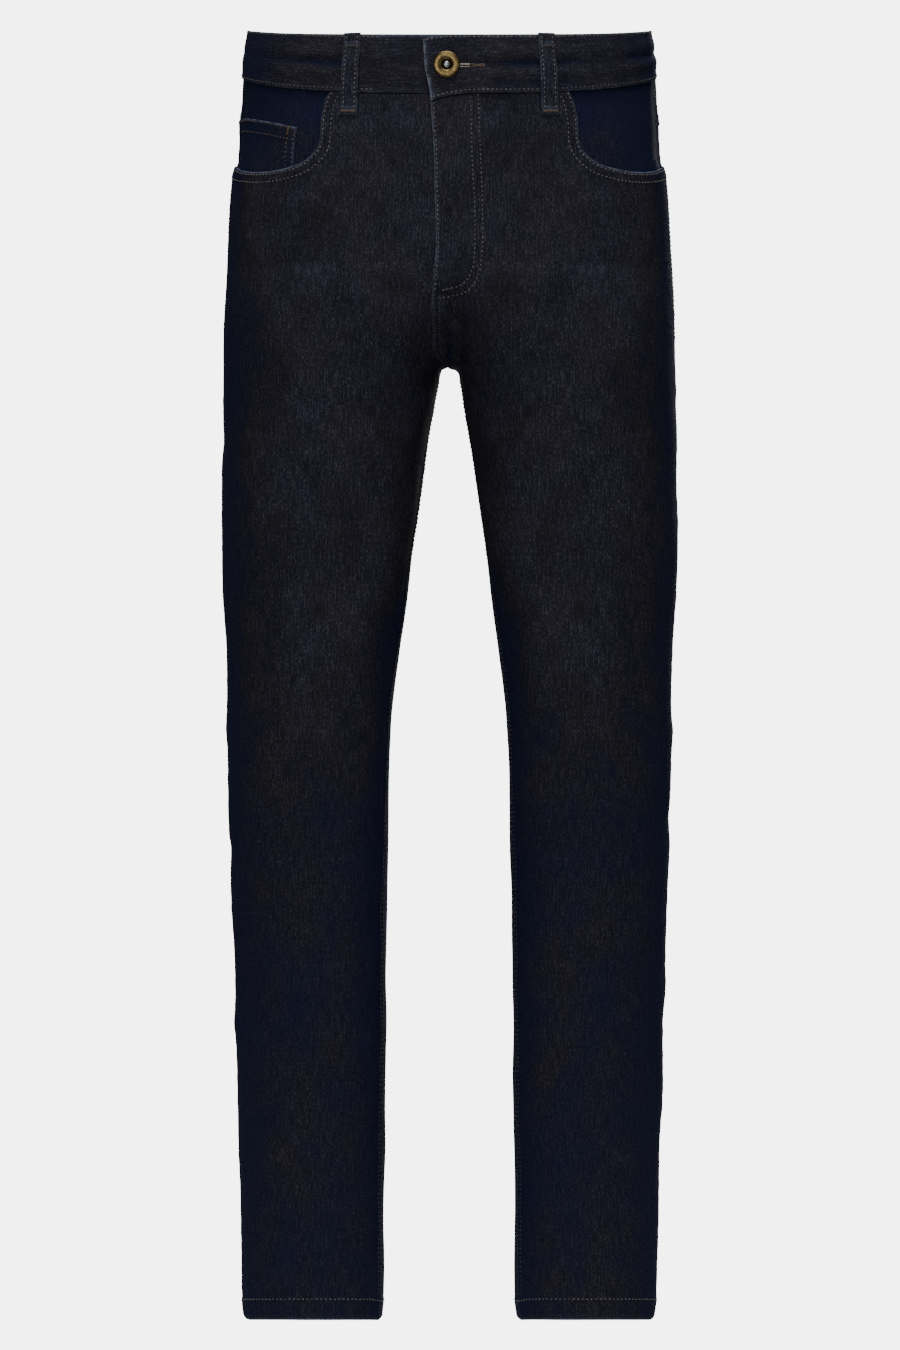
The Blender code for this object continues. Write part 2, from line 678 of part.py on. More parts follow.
def make_backs(back, denim):
    """The two backs, the yokes above them and the back pockets."""
    inner = np.full(back.grid.shape[:2], -CLOTH)
    inner[:2] = -HEM_FOLD
    low, high = slice(0, YOKE_RING + 1), slice(YOKE_RING, None)
    panel = grid_patch(drawn_in(back.grid[low], "side", "centre", "top"), back.out[low], 0.0, inner[low])
    yoke_grid = drawn_in(back.grid[high], "side", "centre", "bottom", "top")
    yoke = grid_patch(yoke_grid, back.out[high], 0.0, -CLOTH)
    for side, piece, above, edge in (
        ("left", panel, yoke, BACK_POCKET_EDGE),
        ("right", mirrored_patch(panel), mirrored_patch(yoke), mirrored_outline(BACK_POCKET_EDGE)),
    ):
        wall("back_" + side, piece, denim)
        wall("yoke_" + side, above, denim)
        plate("back_pocket_" + side, edge, piece, POCKET_LIFT + CLOTH, POCKET_LIFT, denim)


def pocket_area(front, back):
    """The left front's top, where facings lie, with the turn of the back beside it."""
    upper = slice(POCKET_RING, None)
    own = drawn_in(front.grid[upper], "top")
    turning = drawn_in(back.grid[upper, 1::-1], "top")
    turning[:, -1] = own[:, 0]
    turned_back = grid_patch(turning, back.out[upper, 1::-1], 0.0, 0.0)
    return joined(grid_patch(own, front.out[upper], 0.0, 0.0), turned_back)


def make_front_pockets(area, denim):
    """The facings behind the pocket mouths, and the coin pocket on the right one."""
    sink = FACING_SINK * (1 - fade(*SINK_HEIGHTS, area.points[:, 2] + WAIST_HEIGHT))
    outer = -FACING_DEPTH - sink
    facing = [*FACING_EDGE, Spot(FAR_ACROSS, FACING_EDGE[0].height)]
    plate("pocket_facing_left", facing, area, outer, outer - FACING_CLOTH, denim)
    other = mirrored_patch(area)
    plate("pocket_facing_right", mirrored_outline(facing), other, outer, outer - FACING_CLOTH, denim)
    lift = outer + SEAM_GAP
    plate("coin_pocket", mirrored_outline(COIN_EDGE), other, lift + FACING_CLOTH, lift, denim)


def make_fly(area, denim, tape):
    """The shield behind the fly, and the zip between the two fronts."""
    plate("fly_shield", SHIELD_EDGE, joined(area, mirrored_patch(area)), *SHIELD_LAYER, denim)
    plate("zip", ZIP_EDGE, area, *ZIP_LAYER, tape)


def band_row(side, front, back):
    """One row of the waistband, from its under end round the wearer's right to its over end."""
    shares = np.linspace(0, 1, COLUMNS + 2)
    left_front = ring_points(side, front, shares, False)
    left_back = ring_points(side, back, shares, True)
    lap = float(smooth_curve(LAPS, "width", front))
    under_shares = np.linspace(share_at(front, UNDER_END), 1, END_COLUMNS + 1)[:-1]
    over_shares = np.linspace(1, share_at(front, lap), END_COLUMNS + 1)[1:]
    under = ring_points(side, front, under_shares, False)
    over = drooped(mirrored(ring_points(side, front, over_shares, False)))
    right = [mirrored(left_front[::-1]), mirrored(left_back[1:])]
    return np.concatenate([under, *right, left_back[::-1][1:], left_front[1:], over])


def band_grid():
    """The waistband's points, row by row from the waist seam up."""
    rows = []
    for step in BAND_STEPS:
        ends = [low + (high - low) * step for low, high in zip(BODY_RINGS[-1], BAND_TOP)]
        rows.append(band_row(*ends))
    return np.array(rows)


def band_patch(grid):
    """The waistband as one strip whose over end stands out over its under end."""
    out = np.cross(np.gradient(grid, axis=0), np.gradient(grid, axis=1))
    out /= np.linalg.norm(out, axis=-1, keepdims=True)
    across = grid[..., 0]
    column = np.broadcast_to(np.arange(grid.shape[1]), across.shape)
    front = grid[..., 1] < 0
    second_half = column > grid.shape[1] / 2
    over = OVER_RAISE * (1 - fade(*OVER_FADE, across)) * (front & second_half)
    under = UNDER_SINK * fade(*UNDER_FADE, across) * (front & ~second_half)
    shift = over - under
    return grid_patch(drawn_in(grid, "bottom"), out, shift + BAND_OUT, shift - BAND_IN)


def front_depth():
    """The front-to-back place of the form's centre front at the button's height."""
    return float(cloth_points(np.array([BUTTON_HEIGHT]), np.array([1.0]), False)[0, 1])


def make_waistband(grid, denim):
    """The waistband, with its buttonhole through the over end and the post's hole through the under end."""
    band = wall("waistband", band_patch(grid), denim)
    near = front_depth() - CUT_MARGIN
    split = front_depth() - OVER_RAISE + BAND_IN + UNDER_SINK / 2
    low, high = BUTTON_HEIGHT - HOLE_HALF_HEIGHT, BUTTON_HEIGHT + HOLE_HALF_HEIGHT
    slit = [(BUTTON_ACROSS, low), (HOLE_END, low), (HOLE_END, high), (BUTTON_ACROSS, high)]
    cut(band, prism("buttonhole", slit, near, split))
    eye = disc_outline(BUTTON_ACROSS, BUTTON_HEIGHT, POST_RADIUS + EYE_MARGIN)
    cut(band, prism("buttonhole_eye", eye, near, split))
    pierced = disc_outline(BUTTON_ACROSS, BUTTON_HEIGHT, POST_RADIUS + SEAM_GAP)
    cut(band, prism("post_hole", pierced, near, front_depth() + CUT_MARGIN))


def make_button(brass, steel):
    """The tack button on its post, which is riveted through the band's under end."""
    place = (BUTTON_ACROSS, front_depth(), BUTTON_HEIGHT - WAIST_HEIGHT)
    rivet = -(BAND_IN + UNDER_SINK + 3 * SEAM_GAP)
    foot = [(radius, rivet + out) for radius, out in RIVET_PROFILE]
    neck = [(POST_RADIUS, rivet), (POST_RADIUS, BUTTON_STAND - SEAM_GAP), (0, BUTTON_STAND - SEAM_GAP)]
    turned("button_post", foot + neck, steel, place, steps=24)
    cap = [(share * BUTTON_RADIUS, BUTTON_STAND + out) for share, out in CAP_PROFILE]
    turned("button_cap", cap, brass, place)


def loop_row(loop, height, seam, top, surface):
    """Three points across a belt loop at a height, on the cloth or the waistband below it."""
    face = 1 if loop.back else -1
    lean = math.copysign(LOOP_SLANT, loop.across) if loop.across else 0.0
    middle = loop.across + lean * (0.5 - (height - seam) / LOOP_LEAN_HEIGHT)
    inward = Vector((0, -face, 0))
    row = []
    for side in (-0.5, 0.0, 0.5):
        start = Vector((middle + side * LOOP_WIDTH, face * RAY_START, height - WAIST_HEIGHT))
        hit = surface.ray_cast(start, inward, RAY_START)[0]
        if hit is None:
            start.z = seam + (top - seam) * BAND_SAFE - WAIST_HEIGHT
            hit = surface.ray_cast(start, inward, RAY_START)[0]
            hit.z = height - WAIST_HEIGHT
        row.append(np.array(hit))
    return row


def make_belt_loop(loop, cloth, band, denim):
    """A belt loop: a strip tacked to the panel below the band, standing off it, and tacked at its top."""
    seam = np.interp(abs(loop.across), *waist_line(loop.back, BODY_RINGS[-1]))
    top = np.interp(abs(loop.across), *waist_line(loop.back, BAND_TOP))
    raised = 0.0
    if not loop.back and loop.across > 0:
        raised = OVER_RAISE * (1 - fade(*OVER_FADE, loop.across))
    rows, lifts, cloths = [], [], []
    for step in LOOP_STEPS:
        on_band = step.height > 0
        share = min(step.height, BACK_LOOP_TOP) if loop.back else step.height
        height = seam + (top - seam) * share if on_band else seam + step.height
        rows.append(loop_row(loop, height, seam, top, band if on_band else cloth))
        near_band = step.height > BAND_REACH
        lifts.append(step.lift + (BAND_OUT + raised if near_band else 0.0))
        cloths.append(step.cloth)
    grid = np.array(rows)
    along = grid[len(grid) // 2, 2] - grid[len(grid) // 2, 0]
    out = np.array([along[1], -along[0], 0.0])
    out *= np.sign(out[1] * (1 if loop.back else -1)) / np.linalg.norm(out)
    inner = np.array(lifts)[:, None]
    outer = inner + np.array(cloths)[:, None]
    wall(loop.name, grid_patch(grid, np.broadcast_to(out, grid.shape), outer, inner), denim)


def make_belt_loops(front, back, grid, denim):
    """The five belt loops."""
    half_front, half_back = front_patch(front), grid_patch(back.grid, back.out, 0.0, 0.0)
    fronts = tree(joined(half_front, mirrored_patch(half_front)))
    backs = tree(joined(half_back, mirrored_patch(half_back)))
    band = tree(grid_patch(grid, np.zeros(grid.shape), 0.0, 0.0))
    for loop in LOOPS:
        make_belt_loop(loop, backs if loop.back else fronts, band, denim)


def material(name, colour, roughness, metallic=0.0):
    """A plain Principled material."""
    made = bpy.data.materials.new(name)
    made.use_nodes = True
    shader = made.node_tree.nodes["Principled BSDF"]
    shader.inputs["Base Color"].default_value = (*colour, 1)
    shader.inputs["Roughness"].default_value = roughness
    shader.inputs["Metallic"].default_value = metallic
    made.diffuse_color = (*colour, 1)
    return made


def clear_scene():
    """Empties the startup scene."""
    for obj in list(bpy.data.objects):
        bpy.data.objects.remove(obj)


def main():
    """Builds every piece."""
    clear_scene()
    denim = material("denim", (0.012, 0.013, 0.022), 0.85)
    brass = material("brass", (0.55, 0.38, 0.15), 0.35, 1.0)
    steel = material("steel", (0.45, 0.45, 0.46), 0.4, 1.0)
    tape = material("zip_tape", (0.02, 0.02, 0.03), 0.8)

    front_grid, back_grid = hemmed(panel_grid(False)), hemmed(panel_grid(True))
    front = Half(front_grid, grid_normals(front_grid, back_grid))
    back = Half(back_grid, grid_normals(back_grid, front_grid))
    area = pocket_area(front, back)
    band = band_grid()
    make_fronts(front, denim)
    make_backs(back, denim)
    make_front_pockets(area, denim)
    make_fly(area, denim, tape)
    make_waistband(band, denim)
    make_button(brass, steel)
    make_belt_loops(front, back, band, denim)


main()
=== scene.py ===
"""Slim fit jeans, worn and filled out: the finished cloth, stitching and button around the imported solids.

Every piece of cloth is a thin shell laid on one smooth form of the garment. A place on the form is a share of
the way round from the side seam (0) to the centre or the inseam (1), and a level up the rings. Heights are
above the hems, in metres. The wearer's left is +X and the front faces -Y.
"""

import math
from collections import namedtuple

import bpy
import numpy as np
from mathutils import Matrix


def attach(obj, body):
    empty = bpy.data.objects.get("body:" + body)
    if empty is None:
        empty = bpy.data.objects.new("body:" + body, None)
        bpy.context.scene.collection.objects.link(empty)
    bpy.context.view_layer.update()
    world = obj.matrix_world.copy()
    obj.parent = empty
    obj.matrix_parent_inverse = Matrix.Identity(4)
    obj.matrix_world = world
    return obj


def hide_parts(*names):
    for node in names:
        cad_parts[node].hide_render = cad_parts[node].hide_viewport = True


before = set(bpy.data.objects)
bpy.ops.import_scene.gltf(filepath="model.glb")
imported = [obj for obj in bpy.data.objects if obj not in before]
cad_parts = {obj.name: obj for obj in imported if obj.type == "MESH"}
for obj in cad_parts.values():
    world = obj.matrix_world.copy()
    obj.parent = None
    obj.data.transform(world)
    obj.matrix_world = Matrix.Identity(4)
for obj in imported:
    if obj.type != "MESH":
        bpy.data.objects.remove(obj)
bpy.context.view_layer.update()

bl_info = {
    "name": "Slim Fit Jeans", "version": (1, 0, 0), "blender": (4, 5, 0), "location": "View3D > Sidebar > Jeans",
    "description": "Builds a pair of slim fit jeans with its stitching, button and studio", "category": "Object"
}

MM = 0.001

# The form of the garment, as its solids have it.

WAIST_HEIGHT = 1.030
CROTCH_HEIGHT = 0.7785
CROTCH_ROUNDING = 0.008
FRONT_RISE = 0.075
BACK_RISE = 0.105
INNER_SQUARENESS = 2.5
HEM_HEIGHT = 18.5 * MM
HEM_FOLD = 2.6 * MM
HEM_TILT = 0.117
TILT_REACH = 0.30
SIDE_CORNER = 6 * MM
INSEAM_CORNER = 4 * MM
DENT_REACH = 0.35


def table(columns, *rows):
    """Rows of numbers under named columns."""
    return [namedtuple("Entry", columns)(*row) for row in rows]


OUTLINES = table(
    "height outer front back side squareness", (0.0, 0.1676, -0.043, 0.075, 0.016, 2.05),
    (0.024, 0.1692, -0.0435, 0.0755, 0.016, 2.05), (0.08, 0.1704, -0.0445, 0.0765, 0.016, 2.05),
    (0.154, 0.1723, -0.0465, 0.0785, 0.016, 2.05), (0.203, 0.1737, -0.049, 0.08, 0.015, 2.05),
    (0.252, 0.1746, -0.0525, 0.082, 0.014, 2.05), (0.301, 0.1759, -0.056, 0.0835, 0.012, 2.05),
    (0.35, 0.178, -0.0595, 0.0835, 0.01, 2.05), (0.399, 0.1797, -0.064, 0.08, 0.006, 2.05),
    (0.448, 0.1803, -0.069, 0.075, 0.002, 2.05), (0.497, 0.1807, -0.0745, 0.071, -0.001, 2.05),
    (0.546, 0.1813, -0.0795, 0.0725, -0.002, 2.05), (0.595, 0.1846, -0.0845, 0.078, -0.002, 2.05),
    (0.644, 0.1856, -0.089, 0.085, -0.001, 2.05), (0.693, 0.1851, -0.094, 0.0925, 0.001, 2.08),
    (0.742, 0.1851, -0.0985, 0.101, 0.004, 2.12), (0.777, 0.1841, -0.1025, 0.113, 0.006, 2.22),
    (0.819, 0.1831, -0.107, 0.128, 0.008, 2.48), (0.868, 0.1809, -0.11, 0.137, 0.008, 2.66),
    (0.913, 0.1782, -0.11, 0.1355, 0.006, 2.66), (0.942, 0.1757, -0.109, 0.1305, 0.004, 2.58),
    (0.97, 0.173, -0.1065, 0.1235, 0.002, 2.48), (1.004, 0.1682, -0.1025, 0.114, 0.0, 2.36),
    (1.024, 0.1672, -0.1005, 0.109, 0.0, 2.3), (1.05, 0.1634, -0.0985, 0.1055, 0.0, 2.25),
    (1.08, 0.16, -0.097, 0.103, 0.0, 2.25)
)
LEG_GAPS = table(
    "height inner", (0.0, 0.0555), (0.024, 0.0539), (0.154, 0.0526), (0.301, 0.0512), (0.399, 0.0497),
    (0.448, 0.0485), (0.497, 0.0459), (0.546, 0.0403), (0.595, 0.0335), (0.644, 0.0272), (0.693, 0.0203),
    (0.742, 0.013), (0.7672, 0.0093), (0.7771, 0.0068), (CROTCH_HEIGHT, 0.0)
)
SIDE_DENTS = table(
    "height depth", (0.932, 0.0), (0.9374, 0.0012), (0.9415, 0.0029), (0.9456, 0.0034), (0.9537, 0.0034),
    (0.97, 0.0025), (0.985, 0.0013), (1.004, 0.0)
)

# How far the inseam lies in front of the leg's inmost line, as a share of the front ring.
INSEAMS = table("height forward", (0.0, 0.105), (0.3, 0.09), (0.55, 0.055), (0.72, 0.02), (0.765, 0.0))

# Levels of the rings round the garment: their heights at the side seam and at the far end of a front and of a
# back. The far end is the inseam up to the crotch and the centre above it.
RINGS = table(
    "level side front back", (0, 0.0, 0.0, 0.0), (1, 0.31, 0.31, 0.31), (2, 0.58, 0.58, 0.58),
    (3, 0.69, 0.693, 0.693), (4, 0.747, 0.76, 0.76), (5, 0.768, CROTCH_HEIGHT, CROTCH_HEIGHT),
    (6, 0.78, 0.781, 0.782), (7, 0.793, 0.7885, 0.7925), (8, 0.808, 0.802, 0.8105), (9, 0.826, 0.8195, 0.834),
    (10, 0.848, 0.839, 0.86), (11, 0.874, 0.862, 0.887), (12, 0.9, 0.885, 0.912), (13, 0.922, 0.905, 0.932),
    (14, 0.938, 0.92, 0.945), (15, 0.96, 0.9415, 0.96), (16, 0.974, 0.955, 0.97), (17, 0.993, 0.9725, 0.9955),
    (18, 1.0126, 0.9892, 1.0208), (19, 1.0512, 1.0358, 1.0604)
)
CROTCH, YOKE_SEAM, WAIST_SEAM, BAND_TOP = 5, 16, 18, 19

# How far the left front laps over the right one at the centre, how far it stands out there, and its droop.
LAPS = table(
    "height width", (CROTCH_HEIGHT, 0.007), (0.79, 0.0146), (0.815, 0.0147), (0.834, 0.0136), (0.87, 0.0106),
    (0.913, 0.0119), (0.937, 0.0122), (0.962, 0.0134), (0.983, 0.0146), (0.992, 0.015), (1.003, 0.0168),
    (1.014, 0.0194), (1.036, 0.021)
)
LAP_RAISE = 1.6 * MM
LAP_FADE = (0.005, 0.035)
LAP_START = 0.022
LAP_POWERS = (2, 5)
LAP_DROOP = 6.8 * MM
DROOP_HEIGHTS = (0.93, 0.99)
DROOP_EASE = 3.2 * MM
EASE_HEIGHTS = (0.995, 1.030)
OVER_RAISE = 2.4 * MM
OVER_FADE = (0.034, 0.068)
UNDER_SINK = 0.4 * MM
UNDER_FADE = (-0.045, -0.022)
UNDER_END = 0.020
BAND_OUT = 1.1 * MM
BAND_IN = 1.2 * MM

# Layers behind the fronts.
FACING_DEPTH = 1.5 * MM
FACING_SINK = 1.3 * MM
SINK_HEIGHTS = (0.984, 1.000)
FACING_CLOTH = 1.0 * MM
POCKET_LIFT = 0.3 * MM

Spot = namedtuple("Spot", "across height")
MOUTH = [
    (0.093, 1.025), (0.094, 1.01), (0.0955, 0.9925), (0.0985, 0.9865), (0.1013, 0.9755), (0.1027, 0.9655),
    (0.1031, 0.9545), (0.1048, 0.9475), (0.1088, 0.942), (0.1144, 0.9372), (0.1195, 0.9344), (0.1255, 0.9325),
    (0.1378, 0.93), (0.1485, 0.9294), (0.1577, 0.9302), (0.1667, 0.9326), (0.1718, 0.9366)
]
MOUTH_CORNER = 0.1115
COIN_TOP = [(0.1765, 0.9795), (0.17, 0.9772), (0.15, 0.9716), (0.1316, 0.9665), (0.1224, 0.964)]
COIN_SIDE = [(0.1224, 0.964), (0.1236, 0.956), (0.125, 0.9464), (0.1252, 0.934), (0.1258, 0.915)]
BACK_POCKET_TOP = [(0.034, 0.949), (0.146, 0.941)]
BACK_POCKET_LOW = [Spot(0.0430, 0.8330), Spot(0.0900, 0.7990), Spot(0.1400, 0.8280)]
BUTTON = Spot(-0.0022, 1.0119)
HOLE_END = 0.0268
HOLE_HEIGHT = 1.0111
HOLE_WORN = 0.016
HOLE_HALF_HEIGHT = 0.7 * MM

Loop = namedtuple("Loop", "name sign across back")
LOOPS = [
    Loop("belt_loop_front_left", 1, 0.0780, False), Loop("belt_loop_front_right", -1, 0.0780, False),
    Loop("belt_loop_back_left", 1, 0.1010, True), Loop("belt_loop_back_right", -1, 0.1010, True),
    Loop("belt_loop_centre_back", 1, 0.0, True)
]
LOOP_WIDTH = 13.9 * MM
LOOP_SLANT = 2.2 * MM
LOOP_LEAN_HEIGHT = 0.04


def smooth_curve(table, column, at):
    """A table's column at some values of its first one, on a monotone cubic."""
    x = np.array([row[0] for row in table], float)
    y = np.array([getattr(row, column) for row in table], float)
    slope = np.diff(y) / np.diff(x)
    same = slope[1:] * slope[:-1] > 0
    mean = 2 * slope[1:] * slope[:-1] / np.where(same, slope[1:] + slope[:-1], 1)
    tangent = np.concatenate([[slope[0]], np.where(same, mean, 0), [slope[-1]]])
    at = np.clip(at, x[0], x[-1])
    i = np.clip(np.searchsorted(x, at, side="right") - 1, 0, len(x) - 2)
    step = x[i + 1] - x[i]
    t = (at - x[i]) / step
    start = (1 + 2 * t) * (1 - t) ** 2 * y[i] + t * (1 - t) ** 2 * step * tangent[i]
    end = t * t * (3 - 2 * t) * y[i + 1] + t * t * (t - 1) * step * tangent[i + 1]
    return start + end


def fade(low, high, value):
    """From 0 at low to 1 at high, smoothly."""
    t = np.clip((value - low) / (high - low), 0, 1)
    return t * t * (3 - 2 * t)


def falling(distance, width):
    """From 1 at no distance to almost 0 a few widths away."""
    return np.exp(-distance / width)


def bell(offset, width):
    """From 1 in the middle of a bump to almost 0 two widths away."""
    return np.exp(-((offset / width) ** 2))


def paired(*values):
    """Numbers or arrays as arrays of one shape."""
    return np.broadcast_arrays(*(np.asarray(value, float) for value in values))


def half_section(heights, back):
    """The middle, half width and last turn of the left half's section at each height."""
    outer = np.hypot(smooth_curve(OUTLINES, "outer", heights), CROTCH_ROUNDING)
    inner = np.hypot(smooth_curve(LEG_GAPS, "inner", heights), CROTCH_ROUNDING)
    climb = np.clip((heights - CROTCH_HEIGHT) / (BACK_RISE if back else FRONT_RISE), 0, 1)
    depth_share = np.sqrt(1 - (1 - climb) ** 2)
    cleft = (1 - depth_share**INNER_SQUARENESS) ** (1 / INNER_SQUARENESS)
    leg = heights <= CROTCH_HEIGHT
    half = np.where(leg, (outer - inner) / 2, (outer - CROTCH_ROUNDING) / (1 + cleft))
    last = np.where(leg, math.pi, math.pi - np.arccos(np.clip(cleft ** (INNER_SQUARENESS / 2), 0, 1)))
    return outer - half, half, last


def section_points(heights, shares, back):
    """Points of the left half's smooth form at these heights and shares."""
    middle, half, last = half_section(heights, back)
    turn = shares * last
    outer_part = turn < math.pi / 2
    squareness = np.where(outer_part, smooth_curve(OUTLINES, "squareness", heights), INNER_SQUARENESS)
    across = np.sign(np.cos(turn)) * np.abs(np.cos(turn)) ** (2 / squareness)
    deep = np.abs(np.sin(turn)) ** (2 / squareness)
    stretched = middle + half * across
    x = np.sqrt(np.maximum(stretched**2 - CROTCH_ROUNDING**2, 0))
    x = x - smooth_curve(SIDE_DENTS, "depth", heights) * bell(turn, DENT_REACH)
    side = smooth_curve(OUTLINES, "side", heights)
    face = smooth_curve(OUTLINES, "back" if back else "front", heights)
    y = side + (face - side) * deep
    lean = HEM_TILT * (side - y) * (1 - fade(0, TILT_REACH, heights))
    raised = heights + lean + corner_rise(x, y, heights)
    return np.stack([x, y, raised - WAIST_HEIGHT], axis=-1)


def corner_rise(x, y, heights):
    """How far the hem's rounded corners at its two seams lift its edge."""
    outer, inner = smooth_curve(OUTLINES, "outer", heights), smooth_curve(LEG_GAPS, "inner", heights)
    side, back = smooth_curve(OUTLINES, "side", heights), smooth_curve(OUTLINES, "back", heights)
    behind = (y - side) / (back - side)
    rise = np.zeros(np.shape(heights))
    for distance, radius in ((outer - x, SIDE_CORNER), (x - inner, INSEAM_CORNER)):
        near = 1 - np.clip(distance / radius, 0, 1)
        own_half = distance < (outer - inner) / 2
        share = np.where(behind > 0, (1 - fade(0, 1, behind)) * own_half, 1 - np.sqrt(1 - near**2))
        rise += radius * share
    return rise * (1 - fade(0, HEM_HEIGHT, heights))


def ring_heights(shares, levels, back=False):
    """Heights of places given by share and level."""
    side = smooth_curve(RINGS, "side", levels)
    far = smooth_curve(RINGS, "back" if back else "front", levels)
    return side + (far - side) * np.sin(math.pi / 2 * shares)


def seam_height(level, back):
    """The height of a level seam halfway round."""
    return float(ring_heights(0.5, level, back))


def form_points(shares, levels, back=False):
    """Points of the smooth form. Shares under 0 or over 1 go on past the seam."""
    shares, levels = paired(shares, levels)
    within = np.where(shares < 0, -shares, np.where(shares > 1, 2 - shares, shares))
    own = section_points(ring_heights(within, levels, back), within, back)
    other = section_points(ring_heights(within, levels, not back), within, not back)
    crossed = (shares < 0) | ((shares > 1) & (levels < CROTCH))
    points = np.where(crossed[..., None], other, own)
    over_centre = (shares > 1) & (levels >= CROTCH)
    points[..., 0] = np.where(over_centre, -points[..., 0], points[..., 0])
    return points


def form_normals(shares, levels, back=False):
    """Outward directions of the smooth form."""
    shares, levels = paired(shares, levels)
    low, high = np.clip(levels - 0.04, 0, BAND_TOP), np.clip(levels + 0.04, 0, BAND_TOP)
    low = np.where((levels >= CROTCH) & (low < CROTCH) & (shares > 0.9), CROTCH, low)
    up = form_points(shares, high, back) - form_points(shares, low, back)
    along = form_points(shares + 0.004, levels, back) - form_points(shares - 0.004, levels, back)
    out = np.cross(along, up) if back else np.cross(up, along)
    size = np.linalg.norm(out, axis=-1, keepdims=True)
    down = np.array([0.0, 0.0, -1.0])
    return np.where(size > 1e-12, out / np.maximum(size, 1e-12), down)


def bisect(rising, target, low, high, steps=34):
    """Where a rising function reaches its target, for whole arrays."""
    low = np.full(np.shape(target), float(low))
    high = np.full(np.shape(target), float(high))
    for _ in range(steps):
        middle = (low + high) / 2
        under = rising(middle) < target
        low, high = np.where(under, middle, low), np.where(under, high, middle)
    return (low + high) / 2


def level_at(shares, heights, back=False):
    """The levels at which places with these shares have these heights."""
    shares, heights = paired(shares, heights)
    return bisect(lambda level: ring_heights(shares, level, back), heights, 0, BAND_TOP)


def place_at(across, heights, back=False):
    """(shares, levels) of the places this far across at these heights."""
    across, heights = paired(across, heights)
    shares = bisect(lambda s: -section_points(heights, s, back)[..., 0], -np.abs(across), 0, 1)
    levels = level_at(shares, heights, back)
    return np.where(across < 0, 2 - shares, shares), levels


# The arc table has even shares, and close ones about the centre, where the form turns into the cleft.
ARC_FINE = 1 + 0.05 * np.linspace(-1, 1, 41) ** 3
ARC_SHARES = np.unique(np.concatenate([np.linspace(-0.25, 1.25, 91), ARC_FINE]))
ARC_LEVELS = np.linspace(0, BAND_TOP, 116)


def arc_table(back):
    """Lengths round the form from the side seam, by levels and shares."""
    points = form_points(ARC_SHARES[None, :], ARC_LEVELS[:, None], back)
    steps = np.linalg.norm(np.diff(points, axis=1), axis=-1)
    lengths = np.concatenate([np.zeros((len(ARC_LEVELS), 1)), np.cumsum(steps, axis=1)], axis=1)
    zero = np.array([np.interp(0.0, ARC_SHARES, row) for row in lengths])
    return lengths - zero[:, None]


ARCS = {back: arc_table(back) for back in (False, True)}


def arc_rows(levels, back):
    """The rows of the arc table at some levels."""
    at = np.clip(np.asarray(levels, float) / BAND_TOP * (len(ARC_LEVELS) - 1), 0, len(ARC_LEVELS) - 1.001)
    i = at.astype(int)
    part = (at - i)[..., None]
    return ARCS[back][i] * (1 - part) + ARCS[back][i + 1] * part


def arc_of(shares, levels, back=False):
    """Lengths round the form from the side seam to some places."""
    shares, levels = paired(shares, levels)
    rows = arc_rows(levels, back)
    at = np.clip(np.interp(shares, ARC_SHARES, np.arange(len(ARC_SHARES))), 0, len(ARC_SHARES) - 1.001)
    i = at.astype(int)[..., None]
    part = at - i[..., 0]
    low = np.take_along_axis(rows, i, axis=-1)[..., 0]
    high = np.take_along_axis(rows, i + 1, axis=-1)[..., 0]
    return low * (1 - part) + high * part


def share_beside(shares, levels, distance, back=False):
    """Shares that lie a distance round the form from some others."""
    shares, levels = paired(shares, levels)
    target = arc_of(shares, levels, back) + distance
    rows = arc_rows(levels, back)
    flat = [np.interp(t, row, ARC_SHARES) for t, row in zip(target.ravel(), rows.reshape(-1, len(ARC_SHARES)))]
    return np.array(flat).reshape(shares.shape)


def inseam_share(levels, back):
    """The share at a panel's inner edge: its inseam, or the centre above it."""
    forward = smooth_curve(INSEAMS, "forward", ring_heights(np.ones_like(levels), levels, back))
    return 1 + np.where(levels < CROTCH, forward, 0) * (1 if back else -1)


# Lines, and distances to them.


def smooth_path(spots, count):
    """A smooth curve through some spots, as evenly spaced points."""
    knots = np.array(spots, float)
    padded = np.vstack([2 * knots[0] - knots[1], knots, 2 * knots[-1] - knots[-2]])
    fine = []
    for i in range(1, len(padded) - 2):
        a, b, c, d = padded[i - 1 : i + 3]
        t = np.linspace(0, 1, 24, endpoint=False)[:, None]
        second, third = 2 * a - 5 * b + 4 * c - d, 3 * b - a - 3 * c + d
        fine.append(0.5 * (2 * b + (c - a) * t + second * t**2 + third * t**3))
    return evenly(np.vstack([*fine, knots[-1:]]), count)


def unit(vectors):
    """Vectors at length 1."""
    return vectors / np.maximum(np.linalg.norm(vectors, axis=-1, keepdims=True), 1e-9)


def run_of(points, axis=0):
    """Lengths along a path or a grid, from its start."""
    steps = np.linalg.norm(np.diff(points, axis=axis), axis=-1)
    shape = np.zeros((steps.ndim, 2), int)
    shape[axis, 0] = 1
    return np.cumsum(np.pad(steps, shape), axis=axis)


def evenly(path, count):
    """A path's points spaced evenly along it."""
    path = np.asarray(path, float)
    run = run_of(path)
    at = np.linspace(0, run[-1], count)
    return np.stack([np.interp(at, run, path[:, k]) for k in range(path.shape[1])], axis=1)


def beside(path, distance):
    """A flat path moved sideways, to its left as it runs."""
    tangent = unit(np.gradient(path, axis=0))
    return path + distance * np.stack([-tangent[:, 1], tangent[:, 0]], axis=1)


